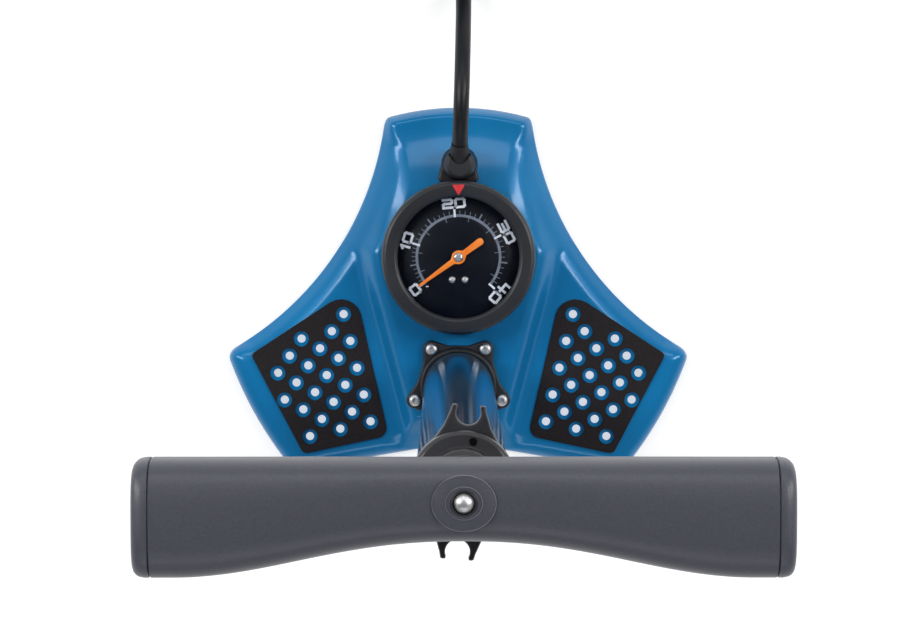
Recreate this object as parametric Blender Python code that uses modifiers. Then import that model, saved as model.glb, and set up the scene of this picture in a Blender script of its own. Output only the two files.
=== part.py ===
"""Double action hand pump: a floor standing bicycle pump with a gauge in its base.

The barrel's axis is vertical. Lengths are in metres, built up from millimetres by MM.
+Y points to the front (the gauge and hose side), +X to the right, +Z up.
The pieces are drawn about the barrel's axis, and the empty "barrel_axis" puts that axis
where the middle of the base's footprint falls on the origin.
"""
import math

import bmesh
import bpy
from mathutils import Matrix, Vector

MM = 0.001
GAP = 0.3 * MM                     # space left between touching pieces

# ---- base -------------------------------------------------------------------------------
BASE_HUB = (0.0, 35.0 * MM)        # the point that the base's outline is scaled about
FRONT_Y = 162.0 * MM               # front edge, at the middle of its arc
FRONT_ARC_RADIUS = 152.0 * MM
SIDE_ARC_CENTRE = (222.3 * MM, 176.9 * MM)
SIDE_ARC_RADIUS = 180.5 * MM
END_ARC_CENTRE = (-73.3 * MM, 89.0 * MM)
END_ARC_RADIUS = 221.0 * MM
REAR_Y = -34.8 * MM                # the rear edges' lines meet here, on the centre line
REAR_SLOPE = 0.174
PANEL_Z = 13.0 * MM                # top of the two foot panels
SPINE_Z = 24.0 * MM                # top of the raised spine
SHELL_WALL = 3.0 * MM
SPINE_EDGE_X = 50.2 * MM           # half width of the spine beside the gauge
SPINE_TAPER = 0.264                # how much that narrows per metre towards the barrel

# ---- grip pads: the lattice of holes is slightly skewed --------------------------------------
PAD_CORNERS = [(-60.8, 57.4), (-41.0, -30.3), (-91.0, -41.0), (-121.5, 17.5)]
PAD_CORNER_RADII = [12.0, 6.0, 3.5, 2.5]
PAD_THICKNESS = 1.0 * MM
HOLE_ORIGIN = (-67.3 * MM, 41.0 * MM)
HOLE_STEP_A = (-6.92 * MM, -10.06 * MM)
HOLE_STEP_B = (10.85 * MM, -5.72 * MM)
HOLE_ROWS = [(0, 0), (0, 1), (-1, 2), (-1, 3), (-1, 4), (0, 3), (2, 2)]
PAD_HOLE_RADIUS = 4.5 * MM
BASE_HOLE_RADIUS = 2.4 * MM

# ---- feet ----------------------------------------------------------------------------------
FOOT_PLACES = {"foot_left": (-115.0, 1.0), "foot_right": (115.0, 1.0), "foot_front": (0.0, 145.0)}
FOOT_RADIUS = 8.0 * MM
FOOT_THICKNESS = 4.0 * MM

# ---- barrel and its flange --------------------------------------------------------------------
BARREL_RADIUS = 20.0 * MM
BARREL_BORE = 18.5 * MM
BARREL_BOTTOM = 14.3 * MM
BARREL_TOP = 572.0 * MM
LINER_RADIUS = 16.0 * MM
LINER_BORE = 14.5 * MM
LINER_BOTTOM = 22.3 * MM
LINER_TOP = 545.0 * MM
FLANGE_TOP = 29.0 * MM
COLLAR_TOP = 34.0 * MM
COLLAR_RADIUS = 22.2 * MM
BOLT_CIRCLE = 26.6 * MM
BOLT_ANGLES = [54, 126, 198, 270, 342]
BOLT_BOSS_RADIUS = 4.9 * MM

# ---- gauge -------------------------------------------------------------------------------------
GAUGE_Y = 75.4 * MM
GAUGE_TOP = 50.0 * MM
BEZEL_RADIUS = 44.3 * MM
BEZEL_OPENING = 35.0 * MM
CASE_RADIUS = 41.0 * MM
LENS_Z = 44.3 * MM
DIAL_Z = 40.3 * MM
NEEDLE_Z = 42.3 * MM
NEEDLE_REST = 126.0                # degrees anticlockwise from the dial's top, seen from above
PINION_RADIUS = 3.0 * MM
SECTOR_RADIUS = 15.0 * MM

# ---- top cap -----------------------------------------------------------------------------------
CAP_TURN = -4.5                    # degrees, how the fork stands to the base
PLATE_Z = (572.3 * MM, 577.5 * MM)
FORK_NOTCH_Y = 29.2 * MM
FORK_NOTCH_RADIUS = 5.2 * MM
CAP_DISC_RADIUS = 22.0 * MM
CAP_DOME_RADIUS = 15.0 * MM
CAP_DOME_Z = 590.0 * MM
VENT_RADIUS = 1.75 * MM

# ---- piston rod and handle ---------------------------------------------------------------------
ROD_RADIUS = 6.0 * MM
ROD_BOTTOM = 38.0 * MM
ROD_TOP = 645.0 * MM
HANDLE_HALF_LENGTH = 131.0 * MM
HANDLE_FRONT_Y = 16.1 * MM
HANDLE_TOP = 657.0 * MM
HANDLE_BOTTOM = 617.0 * MM
HANDLE_CORE = 24.0 * MM            # half width of the solid middle, around the rod
END_CAP_THICKNESS = 6.7 * MM

# ---- hose --------------------------------------------------------------------------------------
HOSE_RADIUS = 4.5 * MM
GLAND_Y = 129.0 * MM
HOSE_EXIT = (0.6, 132.5, 42.0)     # mouth of the gland, in millimetres from the barrel's axis
HOSE_RUN = [                       # from the gland over the front edge, down and to the coil
    (0.6, 132.5, 42.0), (0.8, 142.0, 48.6), (1.2, 153.0, 53.6), (1.6, 165.0, 55.6),
    (2.0, 177.0, 54.2), (2.3, 188.5, 49.2), (2.6, 199.0, 41.4), (2.8, 208.5, 32.4),
    (3.0, 218.0, 23.2), (3.0, 228.5, 14.6), (3.0, 240.5, 8.0), (3.0, 253.0, 5.2), (3.0, 265.1, 4.8),
]
COIL_CENTRE = (-46.5, 296.0)
COIL_RADII = (44.6, 54.4)
COIL_HEIGHT = 34.6
HOSE_TAIL = [                      # from the top turn, over the run above and down to the head
    (-15.5, 246.5, 29.9), (-4.0, 246.5, 29.0), (8.0, 246.5, 25.9), (20.0, 246.5, 21.2),
    (32.0, 246.5, 16.4), (43.5, 246.5, 12.6), (55.5, 246.5, 10.6),
]
HEAD_X = 56.0 * MM
HEAD_Y = 246.5 * MM
HEAD_Z = 10.4 * MM

COLLECTION_NAME = "double_action_hand_pump"


# ---- scene, materials and objects ------------------------------------------------------------

def clear_scene():
    for obj in list(bpy.data.objects):
        bpy.data.objects.remove(obj, do_unlink=True)


def new_collection(name):
    collection = bpy.data.collections.new(name)
    bpy.context.scene.collection.children.link(collection)
    return collection


def material(name, color, roughness, metallic=0.0, alpha=1.0):
    mat = bpy.data.materials.get(name)
    if mat is None:
        mat = bpy.data.materials.new(name)
        mat.use_nodes = True
        shader = mat.node_tree.nodes["Principled BSDF"]
        shader.inputs["Base Color"].default_value = (*color, 1.0)
        shader.inputs["Roughness"].default_value = roughness
        shader.inputs["Metallic"].default_value = metallic
        shader.inputs["Alpha"].default_value = alpha
    return mat


clear_scene()
PARTS = new_collection(COLLECTION_NAME)
CUTTERS = new_collection("cutters")

BLUE_PAINT = material("blue_paint", (0.01, 0.17, 0.42), 0.3)
BLUE_METAL = material("blue_anodised", (0.02, 0.2, 0.45), 0.15, 0.8)
GRIP_TAPE = material("grip_tape", (0.02, 0.016, 0.018), 0.95)
RUBBER = material("rubber", (0.02, 0.02, 0.022), 0.8)
BLACK_PLASTIC = material("black_plastic", (0.025, 0.026, 0.03), 0.5)
HANDLE_PLASTIC = material("handle_plastic", (0.06, 0.062, 0.08), 0.55)
STEEL = material("steel", (0.6, 0.6, 0.62), 0.25, 1.0)
BRASS = material("brass", (0.7, 0.52, 0.25), 0.35, 1.0)
ALUMINIUM = material("aluminium", (0.7, 0.71, 0.73), 0.35, 1.0)
DIAL_BLACK = material("dial_black", (0.006, 0.008, 0.012), 0.4)
NEEDLE_ORANGE = material("needle_orange", (0.95, 0.25, 0.02), 0.4)
MARKER_RED = material("marker_red", (0.6, 0.03, 0.04), 0.45)
LENS_CLEAR = material("lens_clear", (0.95, 0.97, 1.0), 0.05, 0.0, 0.3)


def empty(name, location=(0, 0, 0), parent=None, turn=0.0):
    obj = bpy.data.objects.new(name, None)
    obj.location = location
    obj.rotation_euler = (0, 0, math.radians(turn))
    obj.parent = parent
    PARTS.objects.link(obj)
    return obj


def add_object(name, data, mat, parent, location=(0, 0, 0), collection=PARTS):
    obj = bpy.data.objects.new(name, data)
    obj.location = location
    obj.parent = parent
    if mat is not None:
        data.materials.append(mat)
    collection.objects.link(obj)
    return obj


def finish_bmesh(bm, name):
    bmesh.ops.recalc_face_normals(bm, faces=bm.faces)
    mesh = bpy.data.meshes.new(name)
    bm.to_mesh(mesh)
    bm.free()
    mesh.shade_smooth()
    mesh.set_sharp_from_angle(angle=math.radians(35))
    return mesh


def lofted(name, rings, mat, parent, collection=PARTS):
    """A closed solid through rings of equally many points, with a flat end on each side."""
    bm = bmesh.new()
    loops = [[bm.verts.new(p) for p in ring] for ring in rings]
    for low, high in zip(loops, loops[1:]):
        for i in range(len(low)):
            j = (i + 1) % len(low)
            bm.faces.new((low[i], low[j], high[j], high[i]))
    bm.faces.new(loops[0])
    bm.faces.new(loops[-1])
    return add_object(name, finish_bmesh(bm, name), mat, parent, collection=collection)


def level(points, z):
    return [(x, y, z) for x, y in points]


def prism(name, points, z_low, z_high, mat, parent, collection=PARTS):
    return lofted(name, [level(points, z_low), level(points, z_high)], mat, parent, collection)


def turned(name, section, mat, parent, location=(0, 0, 0), steps=32):
    """A turned solid. The section runs down the outer side; it is closed if it is clear of the axis."""
    mesh = bpy.data.meshes.new(name)
    closed = section[0][0] > 0 or section[-1][0] > 0
    edges = [(i, i + 1) for i in range(len(section) - 1)]
    if closed:
        edges.append((len(section) - 1, 0))
    mesh.from_pydata([(r, 0, z) for r, z in section], edges, [])
    obj = add_object(name, mesh, mat, parent, location)
    screw = obj.modifiers.new("turn", "SCREW")
    screw.steps = steps
    screw.render_steps = steps
    screw.use_merge_vertices = True
    screw.merge_threshold = 0.00001
    return obj


def tube_section(r_out, r_in, z_top, z_bottom, chamfer=0.0):
    if chamfer == 0.0:
        return [(r_out, z_top), (r_out, z_bottom), (r_in, z_bottom), (r_in, z_top)]
    return [(r_out - chamfer, z_top), (r_out, z_top - chamfer), (r_out, z_bottom + chamfer),
            (r_out - chamfer, z_bottom), (r_in, z_bottom), (r_in, z_top)]


def disc_section(r, z_top, z_bottom):
    return [(0, z_top), (r, z_top), (r, z_bottom), (0, z_bottom)]


def rod_mesh(bm, start, end, radius, sides):
    start, end = Vector(start), Vector(end)
    turn = (end - start).to_track_quat("Z", "Y").to_matrix().to_4x4()
    place = Matrix.Translation((start + end) / 2) @ turn
    bmesh.ops.create_cone(bm, cap_ends=True, segments=sides, radius1=radius, radius2=radius,
                          depth=(end - start).length, matrix=place)


def rods(name, lines, mat, parent, sides=12, collection=PARTS):
    """Round bars, each from a start to an end with a radius: one solid, or a set of cutters."""
    bm = bmesh.new()
    for start, end, radius in lines:
        rod_mesh(bm, start, end, radius, sides)
    return add_object(name, finish_bmesh(bm, name), mat, parent, collection=collection)


def cutter_rods(name, lines, parent, sides=12):
    return rods(name, lines, None, parent, sides, CUTTERS)


def boolean(obj, other, operation):
    other.hide_render = True
    other.display_type = "WIRE"
    modifier = obj.modifiers.new(operation.lower(), "BOOLEAN")
    modifier.operation = operation
    modifier.solver = "EXACT"
    modifier.object = other


def bore_each(obj, name, lines, parent, sides=10, operation="DIFFERENCE"):
    """Cuts (or joins) bars that run into each other, one after another."""
    for number, line in enumerate(lines):
        boolean(obj, cutter_rods(f"{name}_{number}", [line], parent, sides), operation)


def tube_curve(name, points, radius, mat, parent, resolution=2):
    curve = bpy.data.curves.new(name, "CURVE")
    curve.dimensions = "3D"
    curve.bevel_depth = radius
    curve.bevel_resolution = resolution
    curve.use_fill_caps = True
    spline = curve.splines.new("POLY")
    spline.points.add(len(points) - 1)
    for spline_point, place in zip(spline.points, points):
        spline_point.co = (*place, 1.0)
    return add_object(name, curve, mat, parent)


def arc(centre, radius, start_deg, end_deg, steps):
    points = []
    for i in range(steps + 1):
        angle = math.radians(start_deg + (end_deg - start_deg) * i / steps)
        points.append((centre[0] + radius * math.cos(angle), centre[1] + radius * math.sin(angle)))
    return points


def rounded(corners, radii, steps=4):
    """A closed outline whose corners are rounded, each to its own radius (zero leaves it sharp)."""
    points = []
    for i, corner in enumerate(corners):
        here = Vector(corner)
        to_last = (Vector(corners[i - 1]) - here).normalized()
        to_next = (Vector(corners[(i + 1) % len(corners)]) - here).normalized()
        radius = radii[i]
        if radius == 0.0:
            points.append(tuple(here))
            continue
        half = to_last.angle(to_next) / 2
        centre = here + (to_last + to_next).normalized() * (radius / math.sin(half))
        first = here + to_last * (radius / math.tan(half)) - centre
        last = here + to_next * (radius / math.tan(half)) - centre
        sweep = first.angle_signed(last)
        for k in range(steps + 1):
            angle = -sweep * k / steps
            spin = Matrix.Rotation(angle, 2)
            points.append(tuple(centre + spin @ first))
    return points


def smooth_run(points, spacing):
    """Evenly spaced points on a smooth curve (Catmull-Rom) through the given points."""
    places = [Vector(p) * MM for p in points]
    places = [2 * places[0] - places[1]] + places + [2 * places[-1] - places[-2]]
    run = [places[1]]
    for a, b, c, d in zip(places, places[1:], places[2:], places[3:]):
        count = max(1, round((c - b).length / spacing))
        for k in range(1, count + 1):
            t = k / count
            run.append(0.5 * ((2 * b) + (c - a) * t + (2 * a - 5 * b + 4 * c - d) * t * t
                              + (3 * b - a - 3 * c + d) * t ** 3))
    return run


# ---- base ------------------------------------------------------------------------------------

def circle_x(centre, radius, y, side):
    return centre[0] + side * math.sqrt(radius ** 2 - (y - centre[1]) ** 2)


def base_outline():
    """The base's outline: half of it worked out from its arcs, then mirrored."""
    front_centre_y = FRONT_Y - FRONT_ARC_RADIUS
    half = []
    for x in (0.0, 14 * MM, 28 * MM, 37 * MM):
        half.append((x, front_centre_y + math.sqrt(FRONT_ARC_RADIUS ** 2 - x ** 2)))
    half += [(41.2 * MM, 155.2 * MM), (43.2 * MM, 151.5 * MM)]
    for step in range(1, 15):
        y = (148.0 - 8.9 * step) * MM
        half.append((circle_x(SIDE_ARC_CENTRE, SIDE_ARC_RADIUS, y, -1), y))
    half += [(133.2 * MM, 19.2 * MM), (134.7 * MM, 15.8 * MM)]
    for step in range(7):
        y = (11.5 - 9.2 * step) * MM
        half.append((circle_x(END_ARC_CENTRE, END_ARC_RADIUS, y, 1), y))
    half += [(97.2 * MM, -49.6 * MM), (94.0 * MM, REAR_Y - REAR_SLOPE * 94.0 * MM)]
    for x in (82 * MM, 68 * MM, 54 * MM, 40 * MM, 26 * MM, 12 * MM):
        half.append((x, REAR_Y - REAR_SLOPE * x))
    half.append((0.0, REAR_Y - 1.0 * MM))
    mirrored = [(-x, y) for x, y in reversed(half[1:-1])]
    return half + mirrored


def scaled(points, factor):
    return [(BASE_HUB[0] + factor * (x - BASE_HUB[0]), BASE_HUB[1] + factor * (y - BASE_HUB[1]))
            for x, y in points]


def plate_rings(steps):
    outline = base_outline()
    return [level(scaled(outline, factor), z * MM) for factor, z in steps]


def spine_rings(inset):
    """Sections across the spine, from behind the barrel to the front edge."""
    stations = [(-34.0, 18.5, 20.5, 8.0), (-32.0, 21.5, 24.0, 9.0)]
    for y in (-20.0, 20.0, 75.0):
        stations.append((y, (SPINE_EDGE_X - SPINE_TAPER * (75.0 * MM - y * MM)) / MM, 24.0, 10.0))
    stations += [(95.0, 49.0, 24.0, 10.0), (112.0, 43.5, 23.4, 9.0), (130.0, 38.0, 21.0, 8.5),
                 (146.0, 34.5, 16.0, 7.5), (152.0, 33.5, 13.2, 7.0)]
    rings = []
    for y, half_width, top, foot in stations:
        w, top_z, foot_z = half_width * MM - inset, top * MM - inset, 8.0 * MM - inset
        spread = w + foot * MM
        shift = inset if y < -30 else (-inset if y > 145 else 0.0)
        section = [(-spread, foot_z), (spread, foot_z), (w + 1.5 * MM, top_z - 3 * MM),
                   (w - 2.5 * MM, top_z), (-w + 2.5 * MM, top_z), (-w - 1.5 * MM, top_z - 3 * MM)]
        rings.append([(x, y * MM + shift, z) for x, z in section])
    return rings


def hole_places(side):
    places = []
    for row, (first, last) in enumerate(HOLE_ROWS):
        for column in range(first, last + 1):
            x = HOLE_ORIGIN[0] + row * HOLE_STEP_A[0] + column * HOLE_STEP_B[0]
            y = HOLE_ORIGIN[1] + row * HOLE_STEP_A[1] + column * HOLE_STEP_B[1]
            places.append((side * x, y))
    return places


def bolt_place(angle_deg):
    angle = math.radians(angle_deg)
    return BOLT_CIRCLE * math.cos(angle), BOLT_CIRCLE * math.sin(angle)


def make_base(parent):
    base = lofted("base_shell", plate_rings([(1.0, 2.0), (1.0, 5.5), (0.975, 10.0), (0.945, 12.3),
                                             (0.92, 13.0)]), BLUE_PAINT, parent)
    boolean(base, lofted("spine_block", spine_rings(0.0), None, parent, CUTTERS), "UNION")
    cavity = plate_rings([(0.968, -5.0), (0.968, 4.5), (0.94, 8.0), (0.9, 10.0)])
    boolean(base, lofted("plate_cavity", cavity, None, parent, CUTTERS), "DIFFERENCE")
    boolean(base, lofted("spine_cavity", spine_rings(SHELL_WALL), None, parent, CUTTERS), "DIFFERENCE")
    bosses = [((x * MM, y * MM, 4.3 * MM), (x * MM, y * MM, 12.0 * MM), FOOT_RADIUS)
              for x, y in FOOT_PLACES.values()]
    boolean(base, cutter_rods("foot_bosses", bosses, parent, 14), "UNION")
    holes = [((0, 0, 15 * MM), (0, 0, 30 * MM), BARREL_RADIUS + GAP),
             ((0, GAUGE_Y, 15 * MM), (0, GAUGE_Y, 30 * MM), 6.3 * MM),
             ((HOSE_EXIT[0] * MM, GLAND_Y, 12 * MM), (HOSE_EXIT[0] * MM, GLAND_Y, 30 * MM), 6.3 * MM)]
    boolean(base, cutter_rods("spine_holes", holes, parent, 32), "DIFFERENCE")
    small = [((x, y, 5 * MM), (x, y, 20 * MM), BASE_HOLE_RADIUS)
             for side in (-1, 1) for x, y in hole_places(side)]
    small += [((*bolt_place(a), 15 * MM), (*bolt_place(a), 30 * MM), 2.3 * MM) for a in BOLT_ANGLES]
    boolean(base, cutter_rods("small_holes", small, parent, 6), "DIFFERENCE")


def make_grip_pad(name, side, parent):
    corners = [(-side * x * MM, y * MM) for x, y in PAD_CORNERS]
    outline = rounded(corners, [r * MM for r in PAD_CORNER_RADII])
    z_low = PANEL_Z + GAP
    pad = prism(name, outline, z_low, z_low + PAD_THICKNESS, GRIP_TAPE, parent)
    holes = [((x, y, z_low - 2 * MM), (x, y, z_low + 4 * MM), PAD_HOLE_RADIUS)
             for x, y in hole_places(-side)]
    boolean(pad, cutter_rods(name + "_holes", holes, parent, 8), "DIFFERENCE")


def make_feet(parent):
    for name, (x, y) in FOOT_PLACES.items():
        section = [(0, FOOT_THICKNESS), (FOOT_RADIUS, FOOT_THICKNESS),
                   (FOOT_RADIUS, 1 * MM), (FOOT_RADIUS - 1 * MM, 0), (0, 0)]
        turned(name, section, RUBBER, parent, (x * MM, y * MM, 0), 20)


# ---- barrel, flange and valve block ----------------------------------------------------------------

def flange_outline():
    """Five bosses joined by sides that curve in between them."""
    points = []
    for angle in BOLT_ANGLES:
        x, y = bolt_place(angle)
        points += arc((x, y), BOLT_BOSS_RADIUS, angle - 60, angle + 60, 4)
        middle = math.radians(angle + 36)
        reach = BOLT_CIRCLE * math.cos(math.radians(36)) + 1.2 * MM
        points.append((reach * math.cos(middle), reach * math.sin(middle)))
    return points


def make_flange(parent):
    flange = prism("barrel_flange", flange_outline(), SPINE_Z + GAP, FLANGE_TOP, BLACK_PLASTIC, parent)
    collar = cutter_rods("flange_collar", [((0, 0, SPINE_Z + 1 * MM), (0, 0, COLLAR_TOP), COLLAR_RADIUS)],
                         parent, 32)
    boolean(flange, collar, "UNION")
    holes = [((0, 0, 20 * MM), (0, 0, 40 * MM), BARREL_RADIUS + GAP)]
    boolean(flange, cutter_rods("flange_bore", holes, parent, 32), "DIFFERENCE")
    holes = [((*bolt_place(a), 20 * MM), (*bolt_place(a), 40 * MM), 2.3 * MM) for a in BOLT_ANGLES]
    boolean(flange, cutter_rods("flange_holes", holes, parent, 8), "DIFFERENCE")
    head = FLANGE_TOP + GAP
    section = [(0, head + 1.0 * MM), (1.5 * MM, head + 1.0 * MM), (1.5 * MM, head + 2.4 * MM),
               (2.6 * MM, head + 2.2 * MM), (3.5 * MM, head + 1.2 * MM), (3.5 * MM, head),
               (2.0 * MM, head), (2.0 * MM, 17.0 * MM), (0, 17.0 * MM)]
    for number, angle in enumerate(BOLT_ANGLES, 1):
        turned(f"flange_screw_{number}", section, STEEL, parent, (*bolt_place(angle), 0), 10)


def make_barrel(parent):
    turned("barrel", tube_section(BARREL_RADIUS, BARREL_BORE, BARREL_TOP, BARREL_BOTTOM), BLUE_METAL,
           parent, steps=32)
    turned("cylinder_liner", tube_section(LINER_RADIUS, LINER_BORE, LINER_TOP, LINER_BOTTOM), ALUMINIUM,
           parent, steps=28)


def make_valve_block(parent):
    """The block under the barrel: intake up the middle, outlet forward through a ball valve."""
    section = [(0, 30 * MM), (14.2 * MM, 30 * MM), (14.2 * MM, 22 * MM), (18.2 * MM, 22 * MM),
               (18.2 * MM, 14 * MM), (24 * MM, 14 * MM), (24 * MM, 7 * MM), (0, 7 * MM)]
    block = turned("valve_block", section, ALUMINIUM, parent, steps=20)
    ways = [((0, 0, 5 * MM), (0, 0, 35 * MM), 3 * MM),
            ((0, 9 * MM, 11 * MM), (0, 9 * MM, 35 * MM), 1.5 * MM),
            ((0, 17.2 * MM, 11 * MM), (0, 17.2 * MM, 25 * MM), 0.8 * MM),
            ((0, 8 * MM, 11 * MM), (0, 30 * MM, 11 * MM), 2.9 * MM)]
    bore_each(block, "block_way", ways, parent)
    ball = bmesh.new()
    bmesh.ops.create_icosphere(ball, subdivisions=2, radius=2.4 * MM)
    add_object("outlet_ball", finish_bmesh(ball, "outlet_ball"), STEEL, parent, (0, 11.4 * MM, 11 * MM))
    turns, coil_radius, start, length = 4, 1.7 * MM, 14.4 * MM, 8.5 * MM
    helix = []
    for k in range(turns * 8 + 1):
        angle = 2 * math.pi * k / 8
        helix.append((coil_radius * math.cos(angle), start + length * k / (turns * 8),
                      11 * MM + coil_radius * math.sin(angle)))
    tube_curve("outlet_spring", helix, 0.3 * MM, STEEL, parent, 0)
    turned("intake_flap", tube_section(6 * MM, 0.8 * MM, 31.5 * MM, 30.3 * MM), RUBBER, parent, steps=20)
    duct = rods("air_duct", [((0, 24.5 * MM, 11 * MM), (0, 131 * MM, 11 * MM), 5 * MM)], BRASS, parent, 12)
    bosses = [((0, GAUGE_Y, 11 * MM), (0, GAUGE_Y, 17 * MM), 5.5 * MM),
              ((HOSE_EXIT[0] * MM, 127 * MM, 11 * MM), (HOSE_EXIT[0] * MM, 127 * MM, 15.5 * MM), 4 * MM)]
    boolean(duct, cutter_rods("duct_bosses", bosses, parent, 12), "UNION")
    ways = [((0, 20 * MM, 11 * MM), (0, 127 * MM, 11 * MM), 2.5 * MM),
            ((0, GAUGE_Y, 11 * MM), (0, GAUGE_Y, 20 * MM), 1.5 * MM),
            ((HOSE_EXIT[0] * MM, 127 * MM, 11 * MM), (HOSE_EXIT[0] * MM, 127 * MM, 20 * MM), 1.5 * MM)]
    bore_each(duct, "duct_way", ways, parent, 8)


# ---- gauge ---------------------------------------------------------------------------------------

def make_gauge(parent):
    case = [(CASE_RADIUS - 2 * MM, 44 * MM), (CASE_RADIUS, 44 * MM), (CASE_RADIUS, 26 * MM),
            (CASE_RADIUS - 1.5 * MM, SPINE_Z + GAP), (3.3 * MM, SPINE_Z + GAP), (3.3 * MM, 26.5 * MM),
            (35 * MM, 26.5 * MM), (35 * MM, 40 * MM), (CASE_RADIUS - 2 * MM, 40 * MM)]
    turned("gauge_case", case, BLACK_PLASTIC, parent, steps=28)
    bezel = [(BEZEL_OPENING, GAUGE_TOP - 1 * MM), (BEZEL_OPENING + 1 * MM, GAUGE_TOP),
             (BEZEL_RADIUS - 2.5 * MM, GAUGE_TOP - 0.4 * MM), (BEZEL_RADIUS, GAUGE_TOP - 3 * MM),
             (BEZEL_RADIUS, 30 * MM), (CASE_RADIUS + GAP, 30 * MM), (CASE_RADIUS + GAP, 46.6 * MM),
             (BEZEL_OPENING, 46.6 * MM)]
    turned("gauge_bezel", bezel, BLACK_PLASTIC, parent, steps=32)
    low, high = GAUGE_TOP + 0.1 * MM, GAUGE_TOP + 0.6 * MM
    triangle = [(-3.7 * MM, 42.0 * MM), (0, 35.8 * MM), (3.7 * MM, 42.0 * MM)]
    prism("bezel_marker", triangle, low, high, MARKER_RED, parent)
    turned("gauge_lens", disc_section(CASE_RADIUS, LENS_Z + 1.8 * MM, LENS_Z), LENS_CLEAR, parent, steps=28)
    turned("gauge_dial", tube_section(38.5 * MM, 1.3 * MM, DIAL_Z + 0.8 * MM, DIAL_Z), DIAL_BLACK,
           parent, steps=28)
    for number, x in enumerate((-3.7, 3.7), 1):
        section = disc_section(2.0 * MM, DIAL_Z + 1.8 * MM, DIAL_Z + 1.1 * MM)
        turned(f"dial_screw_{number}", section, STEEL, parent, (x * MM, -13 * MM, 0), 12)
    turned("needle_stop", disc_section(0.8 * MM, DIAL_Z + 3.4 * MM, DIAL_Z + 1.1 * MM), STEEL, parent,
           (-18.0 * MM, -17.0 * MM, 0), 10)


def make_needle(parent):
    turn = math.radians(NEEDLE_REST)
    outline = [(-0.35, 29.0), (0.35, 29.0), (1.1, 6.0), (2.0, 2.5), (2.0, -2.5), (1.6, -5.0),
               (1.9, -15.0), (1.2, -17.2), (-1.2, -17.2), (-1.9, -15.0), (-1.6, -5.0), (-2.0, -2.5),
               (-2.0, 2.5), (-1.1, 6.0)]
    points = [(x * math.cos(turn) - y * math.sin(turn), x * math.sin(turn) + y * math.cos(turn))
              for x, y in ((a * MM, b * MM) for a, b in outline)]
    needle = prism("gauge_needle", points, NEEDLE_Z, NEEDLE_Z + 0.6 * MM, NEEDLE_ORANGE, parent)
    hole = cutter_rods("needle_hole", [((0, 0, 40 * MM), (0, 0, 45 * MM), 1.2 * MM)], parent, 12)
    boolean(needle, hole, "DIFFERENCE")
    cap = [(0, NEEDLE_Z + 1.6 * MM), (1.8 * MM, NEEDLE_Z + 1.5 * MM), (2.8 * MM, NEEDLE_Z + 0.9 * MM),
           (0.9 * MM, NEEDLE_Z + 0.9 * MM), (0.9 * MM, 38.9 * MM), (PINION_RADIUS, 38.9 * MM),
           (PINION_RADIUS, 36.0 * MM), (0, 36.0 * MM)]
    turned("needle_arbor", cap, STEEL, parent, steps=16)


def make_movement(parent):
    pivot_x = PINION_RADIUS + SECTOR_RADIUS + GAP
    plate = rods("movement_plate", [((0, 0, 30 * MM), (0, 0, 31.5 * MM), 12 * MM)], BRASS, parent, 20)
    posts = [((pivot_x, 0, 30 * MM), (pivot_x, 0, 31.5 * MM), 5 * MM),
             ((0, 0, 31 * MM), (0, 0, 35.7 * MM), 2 * MM),
             ((pivot_x, 0, 31 * MM), (pivot_x, 0, 35.7 * MM), 2 * MM),
             ((pivot_x, 0, 35 * MM), (pivot_x, 0, 38.6 * MM), 0.8 * MM)]
    bore_each(plate, "movement_post", posts, parent, 12, "UNION")
    bridge = [(6 * MM, -3 * MM), (pivot_x, -3 * MM), (pivot_x, 3 * MM), (6 * MM, 3 * MM)]
    boolean(plate, prism("movement_bridge", bridge, 30 * MM, 31.5 * MM, None, parent, CUTTERS), "UNION")
    fan = [(p[0] + pivot_x, p[1]) for p in arc((0, 0), SECTOR_RADIUS, 172, 238, 12)]
    fan += [(pivot_x + 2.4 * MM, -2.4 * MM), (pivot_x + 2.4 * MM, 2.4 * MM)]
    sector = prism("sector_gear", fan, 36.2 * MM, 37.4 * MM, BRASS, parent)
    hole = cutter_rods("sector_hole", [((pivot_x, 0, 33 * MM), (pivot_x, 0, 40 * MM), 1.1 * MM)], parent, 12)
    boolean(sector, hole, "DIFFERENCE")
    turned("gauge_stem", [(4.8 * MM, 29.7 * MM), (4.8 * MM, 26.8 * MM), (3.0 * MM, 26.8 * MM),
                          (3.0 * MM, 17.3 * MM), (1.0 * MM, 17.3 * MM), (1.0 * MM, 29.7 * MM)],
           BRASS, parent, steps=16)
    ring = arc((0, 0), 29.5 * MM, 200, 470, 24)
    tube_curve("bourdon_tube", [(x, y, 33 * MM) for x, y in ring], 2.0 * MM, BRASS, parent, 1)
    socket = [(-31.5 * MM, -14 * MM), (-24 * MM, -12.5 * MM), (-6 * MM, -3 * MM), (-6 * MM, -7 * MM),
              (-24 * MM, -18 * MM), (-29 * MM, -19 * MM)]
    prism("bourdon_socket", socket, 27 * MM, 29.6 * MM, BRASS, parent)


# ---- top of the barrel ----------------------------------------------------------------------------

def fork_outline():
    """The plate that clips the hose: two round-bottomed forks, front and rear, on a waist."""
    side = [(21.6, 3.0), (19.7, 8.9), (17.3, 12.0), (13.6, 17.3), (9.9, 23.2), (7.6, 29.5), (7.0, 32.0),
            (6.2, 32.4), (5.0, 32.3), (4.7, 31.4)]
    points = [(x * MM, y * MM) for x, y in side]
    points += arc((0, FORK_NOTCH_Y), FORK_NOTCH_RADIUS, 10, -190, 12)
    points += [(-x * MM, y * MM) for x, y in reversed(side)]
    return points + [(-x, -y) for x, y in points]


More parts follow.
